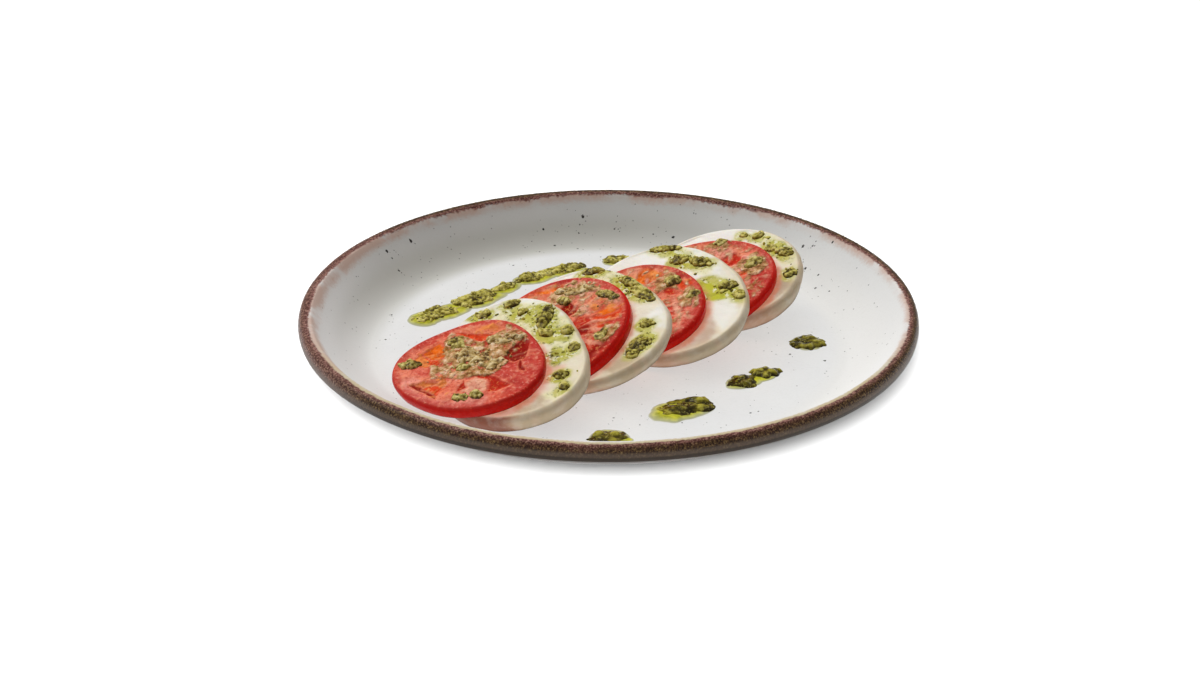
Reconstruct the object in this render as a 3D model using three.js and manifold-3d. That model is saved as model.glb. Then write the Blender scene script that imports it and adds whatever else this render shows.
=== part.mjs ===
// Caprese salad on its plate: a row of tomato and mozzarella slices, each leaning on the one
// behind it, dressed with pesto. Millimetres, +Z up. The origin is the middle of the plate's
// foot, on the table.
import * as THREE from 'three';
import { mergeVertices } from 'three/addons/utils/BufferGeometryUtils.js';
import Module from 'manifold-3d';

const wasm = await Module();
wasm.setup();

// ---- driving dimensions -------------------------------------------------------------------
const GAP = 0.3; // between pieces that touch

const PLATE_RADIUS = 140;
const PLATE_HEIGHT = 26;
const WELL_FLOOR = 6.5; // height of the flat the food lies on
const WELL_RADIUS = 108; // where the floor starts to turn up
const INNER_LIP_RADIUS = 133.6;
const INNER_LIP_HEIGHT = 25.4;
const WALL_CURVE = 1.6; // power of the inner wall's rise
const EDGE_HEIGHT = 18.5; // where the upright outer edge turns under
const EDGE_TUCK = 1.4; // how far the outer edge draws in at its top and bottom
const FOOT_RADIUS = 98;
const FOOT_WIDTH = 4;
const FOOT_HEIGHT = 1.5;
const UNDER_CURVE = 1.4; // power of the underside's rise
const PLATE_SEGMENTS = 80;

const ROW_DIRECTION = 40; // degrees from +X
const SETTLE = 0.8; // how far the soft last slice flattens onto the plate
const RIM_SEGMENTS = 40;
const CHEESE_EDGE = 2.8; // radius of the soft upper edge
const TOMATO_EDGE = 0.5; // the knife-cut edge of the skin
const TOMATO_BELLY = 0.5; // how far the skin stands out halfway down

// One entry per slice, from the front of the row to its back. Lengths in mm, angles in degrees.
// along, aside: middle of the upper face, along the row and to its left.
// tilt, turn: how far the face leans back on the next slice, and in which direction off the row.
// outline: how far the rim is from round, as [waves around it, share of the radius, where].
// taper: how much smaller the underside is than the face.
// pesto: lumps on the face, as [uphill, left, length, width, turn, height].
const SLICES = [
  {
    name: 'tomato_1', food: 'tomato', along: -87.5, aside: -12, tilt: 16, turn: 3,
    radius: 32, outline: [[2, 0.064, -70], [3, 0.039, 19], [4, 0.024, 27]], thickness: 6, taper: 0.9,
    pesto: [
      [7, 17, 12, 7, 70, 1.8], [4, 1, 28, 12, -79, 1.2], [-15, 23, 12, 6, -56, 2],
      [-18, -14, 8, 5, -49, 1.8], [-13, -19, 7, 5, -54, 1.8], [21, -1, 18, 7, -50, 1.4],
      [-4, 1, 7, 6, -69, 2.4],
    ],
  },
  {
    name: 'mozzarella_1', food: 'cheese', along: -70, aside: -17, tilt: 19, turn: 2,
    radius: 38, outline: [[2, 0.12, 62], [3, 0.035, 40]], thickness: 8.5, taper: 1.2,
    pesto: [
      [14, 34, 8, 5, -41, 1.4], [26, 28, 9, 5, -34, 1.6], [25, 19, 6, 5, -21, 1.6],
      [27, 6, 18, 7, 31, 2], [20, -2, 7, 5, -76, 1.6], [26, -10, 6, 7, -31, 2],
      [20, -21, 6, 6, -46, 1.8], [4, -29, 7, 6, -26, 1.6], [0, -36, 5, 5, -52, 1.6],
    ],
  },
  {
    name: 'tomato_2', food: 'tomato', along: -42, aside: -9, tilt: 20, turn: 0,
    radius: 36, outline: [[2, 0.08, 4], [3, 0.015, 36]], thickness: 5.5, taper: -1,
    pesto: [
      [27, 11, 20, 7, -45, 1.6], [32, -5, 14, 5, -79, 1.6], [18, 11, 8, 5, -80, 1.6],
      [12, -23, 8, 6, 9, 1.6],
    ],
  },
  {
    name: 'mozzarella_2', food: 'cheese', along: -24, aside: -15, tilt: 20, turn: 2,
    radius: 38, outline: [[2, 0.105, 65], [3, 0.045, -54]], thickness: 8.5, taper: 2.5,
    pesto: [
      [29, 26, 12, 6, -42, 1.8], [31, 6, 13, 6, -88, 1.8], [28, -6, 16, 7, -94, 2],
      [14, -24, 7, 6, -50, 1], [0, -31, 13, 8, 21, 2.2], [5, -32, 7, 6, -16, 1.6],
    ],
  },
  {
    name: 'tomato_3', food: 'tomato', along: -0.5, aside: -14.5, tilt: 20, turn: 0,
    radius: 33.5, outline: [[2, 0.065, -12], [3, 0.045, 50]], thickness: 5.5, taper: 0.2,
    pesto: [[26, -2, 8, 7, -56, 2], [24, -18, 10, 5, -30, 1.4]],
  },
  {
    name: 'mozzarella_3', food: 'cheese', along: 18.5, aside: -16, tilt: 20, turn: 2,
    radius: 40, outline: [[2, 0.08, 82], [3, 0.02, 38]], thickness: 8.5, taper: 2,
    pesto: [
      [28, 26, 15, 5, -57, 1.6], [25, 13, 10, 5, -45, 1.6], [29, 3, 15, 7, -68, 2],
      [23, -21, 9, 6, -51, 1.8], [21, -30, 7, 7, -11, 2],
    ],
  },
  {
    name: 'tomato_4', food: 'tomato', along: 41.5, aside: -12.5, tilt: 20, turn: 0,
    radius: 35.5, outline: [[2, 0.06, -16], [3, 0.025, -36]], thickness: 5.5, taper: 0.2,
    pesto: [[30, 13, 8, 6, -31, 1.8], [27, -13, 12, 7, -18, 1.4]],
  },
  {
    name: 'mozzarella_4', food: 'cheese', along: 60.5, aside: -11, tilt: 20, turn: 2,
    radius: 36.5, outline: [[2, 0.065, -76], [3, 0.015, 3]], thickness: 9.5, taper: 2,
    pesto: [
      [26, 11, 5, 4, -54, 1.2], [29, 4, 5, 5, -63, 1.4], [25, -8, 6, 5, -49, 1.4],
      [26, -16, 9, 6, -68, 2], [16, -29, 7, 7, -55, 2],
    ],
  },
];

// Pesto on the plate itself: each heap is a few lumps run together,
// as [x, y, length, width, turn, height].
const PLATE_PESTO = {
  pesto_trail_front: [
    [-80, 28, 26, 13, 41, 3], [-63, 45, 28, 15, 43, 3.4], [-50, 58, 16, 8, 43, 2.4],
  ],
  pesto_trail_back: [[-37, 70, 20, 10, 30, 2.8], [-24, 79, 26, 10, 25, 3]],
  pesto_dab: [[5, 92, 15, 9, 15, 2.6]],
  pesto_drop_1: [[-1, -95, 16, 13, 3, 2.6]],
  pesto_drop_2: [[30, -70, 28, 18, 20, 1.6], [37, -66, 19, 14, 15, 4]],
  pesto_drop_3: [[59, -43, 16, 12, 34, 2.8], [69, -35, 15, 9, 18, 3]],
  pesto_drop_4: [[91, -3, 16, 15, 0, 2.8]],
};

// ---- materials ----------------------------------------------------------------------------
const glaze = () => new THREE.MeshStandardMaterial({ color: 0xdfdfdc, roughness: 0.25, metalness: 0 });
const tomatoFlesh = () => new THREE.MeshStandardMaterial({ color: 0xc8301f, roughness: 0.3, metalness: 0 });
const cheese = () => new THREE.MeshStandardMaterial({ color: 0xf1ead8, roughness: 0.45, metalness: 0 });
const pesto = () => new THREE.MeshStandardMaterial({ color: 0x6b7423, roughness: 0.4, metalness: 0 });

// ---- plate --------------------------------------------------------------------------------
/** Height of the plate's upper surface at a distance from its middle. */
function wellHeight(r) {
  const run = Math.max(0, r - WELL_RADIUS) / (INNER_LIP_RADIUS - WELL_RADIUS);
  return WELL_FLOOR + (INNER_LIP_HEIGHT - WELL_FLOOR) * run ** WALL_CURVE;
}

/** Height of the underside outside the foot. */
function undersideHeight(r) {
  const start = FOOT_RADIUS + FOOT_WIDTH;
  const run = Math.max(0, r - start) / (PLATE_RADIUS - EDGE_TUCK - start);
  return FOOT_HEIGHT + (EDGE_HEIGHT - FOOT_HEIGHT) * run ** UNDER_CURVE;
}

/** Round coupe plate: flat well, curved wall, thick upright lip and a foot ring. */
function plateGeometry() {
  const point = (r, z) => new THREE.Vector2(r, z);
  const footInside = FOOT_RADIUS - FOOT_WIDTH;
  const profile = [point(0, FOOT_HEIGHT), point(footInside - 1, FOOT_HEIGHT)];
  profile.push(point(footInside, 0), point(FOOT_RADIUS, 0), point(FOOT_RADIUS + 1, FOOT_HEIGHT));
  for (const r of [106, 113, 122, 131]) {
    profile.push(point(r, undersideHeight(r)));
  }
  profile.push(point(PLATE_RADIUS - EDGE_TUCK, EDGE_HEIGHT), point(PLATE_RADIUS - 0.3, EDGE_HEIGHT + 1.3));
  profile.push(point(PLATE_RADIUS, EDGE_HEIGHT + 3.2), point(PLATE_RADIUS - 0.5, PLATE_HEIGHT - 2));
  profile.push(point(PLATE_RADIUS - EDGE_TUCK, PLATE_HEIGHT - 0.6), point(PLATE_RADIUS - 3, PLATE_HEIGHT));
  profile.push(point(INNER_LIP_RADIUS + 1.6, PLATE_HEIGHT - 0.1));
  for (const r of [INNER_LIP_RADIUS, 131, 128, 124, 120, 116, 112, WELL_RADIUS]) {
    profile.push(point(r, wellHeight(r)));
  }
  profile.push(point(0, WELL_FLOOR));
  const geometry = new THREE.LatheGeometry(profile, PLATE_SEGMENTS);
  geometry.rotateX(Math.PI / 2); // the lathe turns about +Y
  return geometry;
}

// ---- joining ------------------------------------------------------------------------------
function toSolid(geometry) {
  const bare = geometry.clone();
  bare.deleteAttribute('normal');
  bare.deleteAttribute('uv');
  const merged = mergeVertices(bare, 1e-4);
  const mesh = new wasm.Mesh({
    numProp: 3,
    vertProperties: new Float32Array(merged.attributes.position.array),
    triVerts: new Uint32Array(merged.index.array),
  });
  return new wasm.Manifold(mesh);
}

function toGeometry(solid) {
  const mesh = solid.getMesh();
  const geometry = new THREE.BufferGeometry();
  geometry.setAttribute('position', new THREE.BufferAttribute(mesh.vertProperties, 3));
  geometry.setIndex(new THREE.BufferAttribute(mesh.triVerts, 1));
  geometry.computeVertexNormals();
  return geometry;
}

/** Joins geometries that overlap into one closed body. */
function fuse(geometries) {
  const solids = geometries.map(toSolid);
  return toGeometry(solids.reduce((whole, solid) => whole.add(solid)));
}

// ---- pesto --------------------------------------------------------------------------------
/** An uneven lump with its middle at the origin; with a flat base it has nothing below z = 0. */
function lumpGeometry([x, y, length, width, turn, height], flatBase) {
  const geometry = new THREE.IcosahedronGeometry(1, 1);
  const at = geometry.attributes.position;
  const p = new THREE.Vector3();
  for (let i = 0; i < at.count; i += 1) {
    p.fromBufferAttribute(at, i);
    const uneven = 1 + 0.1 * Math.sin(5 * p.x + x) + 0.08 * Math.sin(6 * p.y + y + 3 * p.z);
    p.multiplyScalar(uneven);
    p.set((p.x * length) / 2, (p.y * width) / 2, p.z * height);
    if (flatBase) {
      p.z = Math.max(0, p.z);
    }
    at.setXYZ(i, p.x, p.y, p.z);
  }
  geometry.rotateZ(THREE.MathUtils.degToRad(turn));
  geometry.translate(x, y, 0);
  return geometry;
}

// ---- slices -------------------------------------------------------------------------------
/** Radius of a slice's face in the direction of an angle, in radians from uphill. */
function faceRadius(slice, angle) {
  let share = 1;
  for (const [waves, height, at] of slice.outline) {
    share += height * Math.cos(waves * (angle - THREE.MathUtils.degToRad(at)));
  }
  return slice.radius * share;
}

/** Rings of a slice from its face to its underside, as [share of radius, inset, depth]. */
function sliceRings({ food, thickness, taper }) {
  const rings = [[0.5, 0, 0]];
  if (food === 'cheese') {
    for (const angle of [0, 30, 60, 90]) {
      const lean = THREE.MathUtils.degToRad(angle);
      rings.push([1, CHEESE_EDGE * (1 - Math.sin(lean)), CHEESE_EDGE * (1 - Math.cos(lean))]);
    }
    rings.push([1, 0.3 * taper, 0.6 * thickness]);
    rings.push([1, taper, thickness - 0.9]);
    rings.push([1, taper + 1.4, thickness]);
  } else {
    rings.push([1, TOMATO_EDGE, 0], [1, 0, TOMATO_EDGE]);
    rings.push([1, taper / 2 - TOMATO_BELLY, thickness / 2]);
    rings.push([1, taper, thickness - 0.2], [1, taper + TOMATO_EDGE, thickness]);
  }
  return rings;
}

/**
 * A slice in its own frame: face on z = 0, +X uphill. Whatever would pass through the slice
 * behind it or the plate is pressed flat against them.
 */
function sliceGeometry(slice, holder, behind) {
  const corners = [];
  const addPoint = (x, y, depth) => {
    const local = new THREE.Vector3(x, y, -depth);
    for (let pass = 0; pass < 2; pass += 1) {
      const world = local.clone().applyMatrix4(holder.matrix);
      const floor = wellHeight(Math.hypot(world.x, world.y)) + GAP;
      const up = new THREE.Vector3(0, 0, 1).transformDirection(holder.matrix);
      let lift = Math.max(0, (floor - world.z) / up.z);
      if (behind) {
        lift = Math.max(lift, (GAP - behind.distanceToPoint(world)) / behind.normal.dot(up));
      }
      local.z += lift;
    }
    corners.push(local.x, local.y, Math.min(local.z, 0));
  };

  addPoint(0, 0, 0);
  const rings = sliceRings(slice);
  for (const [share, inset, depth] of rings) {
    for (let i = 0; i < RIM_SEGMENTS; i += 1) {
      const angle = (2 * Math.PI * i) / RIM_SEGMENTS;
      const r = share * faceRadius(slice, angle) - inset;
      addPoint(r * Math.cos(angle), r * Math.sin(angle), depth);
    }
  }
  addPoint(0, 0, slice.thickness);

  const faces = [];
  const ringStart = (ring) => 1 + ring * RIM_SEGMENTS;
  const last = 1 + rings.length * RIM_SEGMENTS;
  for (let i = 0; i < RIM_SEGMENTS; i += 1) {
    const next = (i + 1) % RIM_SEGMENTS;
    faces.push(0, ringStart(0) + i, ringStart(0) + next);
    for (let ring = 1; ring < rings.length; ring += 1) {
      const [upper, lower] = [ringStart(ring - 1), ringStart(ring)];
      faces.push(upper + i, lower + i, lower + next, upper + i, lower + next, upper + next);
    }
    faces.push(last, ringStart(rings.length - 1) + next, ringStart(rings.length - 1) + i);
  }
  const geometry = new THREE.BufferGeometry();
  geometry.setAttribute('position', new THREE.Float32BufferAttribute(corners, 3));
  geometry.setIndex(faces);
  return geometry;
}

/** Stands the slices in the row from the back, each lying on the face of the one behind it. */
function buildRow() {
  const row = new THREE.Group();
  row.rotation.z = THREE.MathUtils.degToRad(ROW_DIRECTION);
  let behind = null;
  for (const slice of [...SLICES].reverse()) {
    const mesh = new THREE.Mesh(undefined, slice.food === 'cheese' ? cheese() : tomatoFlesh());
    mesh.name = slice.name;
    const tilt = THREE.MathUtils.degToRad(slice.tilt);
    mesh.rotation.set(0, -tilt, THREE.MathUtils.degToRad(slice.turn), 'ZYX');
    const up = new THREE.Vector3(0, 0, 1).applyEuler(mesh.rotation);
    const under = new THREE.Vector3(slice.along, slice.aside, 0).addScaledVector(up, -slice.thickness);
    let height;
    if (behind) {
      height = (GAP - behind.distanceToPoint(under)) / behind.normal.z;
    } else {
      const low = faceRadius(slice, Math.PI) * Math.sin(tilt) + slice.thickness * Math.cos(tilt);
      height = WELL_FLOOR + GAP - SETTLE + low;
    }
    mesh.position.set(slice.along, slice.aside, height);
    mesh.updateMatrix();
    const lumps = slice.pesto.map((lump) => lumpGeometry(lump, false));
    mesh.geometry = fuse([sliceGeometry(slice, mesh, behind), ...lumps]);
    row.add(mesh);
    behind = new THREE.Plane().setFromNormalAndCoplanarPoint(up, mesh.position);
  }
  return row;
}

// ---- the whole salad ----------------------------------------------------------------------
const salad = new THREE.Group();

const plate = new THREE.Mesh(plateGeometry(), glaze());
plate.name = 'plate';
salad.add(plate, buildRow());

for (const [name, lumps] of Object.entries(PLATE_PESTO)) {
  const heap = new THREE.Mesh(fuse(lumps.map((lump) => lumpGeometry(lump, true))), pesto());
  heap.name = name;
  heap.position.z = WELL_FLOOR + GAP;
  salad.add(heap);
}

export default salad;
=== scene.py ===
"""Looks of the caprese salad: glazed plate, cut tomato, fresh mozzarella, coarse pesto and oil."""

import math

import bmesh
import bpy
import numpy as np
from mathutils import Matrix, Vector


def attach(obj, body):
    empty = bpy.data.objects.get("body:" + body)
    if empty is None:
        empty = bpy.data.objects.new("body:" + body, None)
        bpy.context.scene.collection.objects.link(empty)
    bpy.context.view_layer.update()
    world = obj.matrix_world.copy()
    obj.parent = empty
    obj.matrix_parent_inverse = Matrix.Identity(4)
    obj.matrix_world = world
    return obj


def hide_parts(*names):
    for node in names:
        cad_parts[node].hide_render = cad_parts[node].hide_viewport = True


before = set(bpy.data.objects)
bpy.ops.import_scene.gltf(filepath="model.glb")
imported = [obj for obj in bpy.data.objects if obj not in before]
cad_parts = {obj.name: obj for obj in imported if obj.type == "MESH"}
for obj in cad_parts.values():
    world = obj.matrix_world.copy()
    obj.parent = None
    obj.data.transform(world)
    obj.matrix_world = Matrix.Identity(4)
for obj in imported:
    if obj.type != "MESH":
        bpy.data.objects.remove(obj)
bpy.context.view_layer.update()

MM = 0.001

# ---- the same dimensions as the solids, in millimetres ----
GAP = 0.3
PLATE_RADIUS = 140
PLATE_HEIGHT = 26
WELL_FLOOR = 6.5
WELL_RADIUS = 108
INNER_LIP_RADIUS = 133.6
INNER_LIP_HEIGHT = 25.4
WALL_CURVE = 1.6
EDGE_HEIGHT = 18.5
EDGE_TUCK = 1.4
UNDER_START = 102
FOOT_HEIGHT = 1.5
UNDER_CURVE = 1.4
ROW_DIRECTION = 40
SETTLE = 0.8
CHEESE_EDGE = 2.8
TOMATO_EDGE = 1.6
TOMATO_BELLY = 0.5

# ---- how fine the meshes are, and what their random draws start from ----
PLATE_SEGMENTS = 288
CHEESE_MESH, TOMATO_MESH, FIRST_TOMATO_MESH = (240, 44), (320, 64), (320, 88)  # segments, rings
PASTE_CELL = 0.25  # mm between the points of a patch of paste
OIL_MESH = (96, 22)
SPECK_SIDES, FINE_SPECKS = 12, 260
SLICE_SEED, PESTO_SEED, PLATE_PESTO_SEED, SPECK_SEED, OIL_SEED, LATTICE_SEED = 11, 31, 61, 91, 40, 7

# ---- linear colours of the cut faces ----
COLOURS = {
    "flesh": (0.62, 0.065, 0.042),
    "pink_flesh": (0.80, 0.17, 0.11),
    "warm_flesh": (0.88, 0.25, 0.15),
    "light_flesh": (0.90, 0.33, 0.25),
    "rose": (0.62, 0.070, 0.050),
    "salmon": (0.86, 0.26, 0.14),
    # pale flesh; on the fibres of the later tomatoes, partly painted highlight
    "pale": (0.90, 0.46, 0.30),
    "orange": (0.92, 0.17, 0.010),
    "pale_orange": (0.92, 0.30, 0.07),
    "orange_red": (0.80, 0.07, 0.014),
    "brown_orange": (0.64, 0.18, 0.04),
    "red_gel": (0.58, 0.030, 0.012),
    # the deep red of the gel; also used as painted shade along an edge and in furrows
    "deep": (0.28, 0.007, 0.003),
    "crimson": (0.54, 0.042, 0.034),
    "skin": (0.52, 0.006, 0.003),
    "cream": (0.90, 0.84, 0.68),
    # painted light: the lit upper part of a cheese face, and lit patches on it
    "white": (0.95, 0.93, 0.85),
    # partly the rind's own tone, partly painted shade: the lower part of a cheese face and its rim
    "edge": (0.80, 0.68, 0.47),
    # painted shade: the sides of the cheese, and lower faces next to the tomato in front
    "beige": (0.53, 0.41, 0.265),
    # painted shadow of a tomato on the cheese behind it
    "dim_beige": (0.45, 0.335, 0.225),
    "shaded": (0.60, 0.44, 0.33),
    "oil": (0.58, 0.55, 0.09),
    "pale_oil": (0.86, 0.82, 0.50),
    "pool": (0.56, 0.57, 0.030),
    "green": (0.34, 0.32, 0.06),
    "pink": (0.84, 0.52, 0.38),
    # tomato juice; where it lies on a cheese's side next to a tomato, also painted shade
    "juice": (0.66, 0.19, 0.10),
    # painted shadow with a painted red reflection of a tomato, on a cheese's side
    "reddish_shadow": (0.24, 0.060, 0.030),
}
# How wet each looks, from 0 to 1; the others are dry.
WETNESS = {"orange": 1, "deep": 1, "red_gel": 1, "orange_red": .9, "brown_orange": .8, "pale_orange": .7,
           "oil": .8, "pool": 1, "green": 1, "pale_oil": .5}

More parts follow.
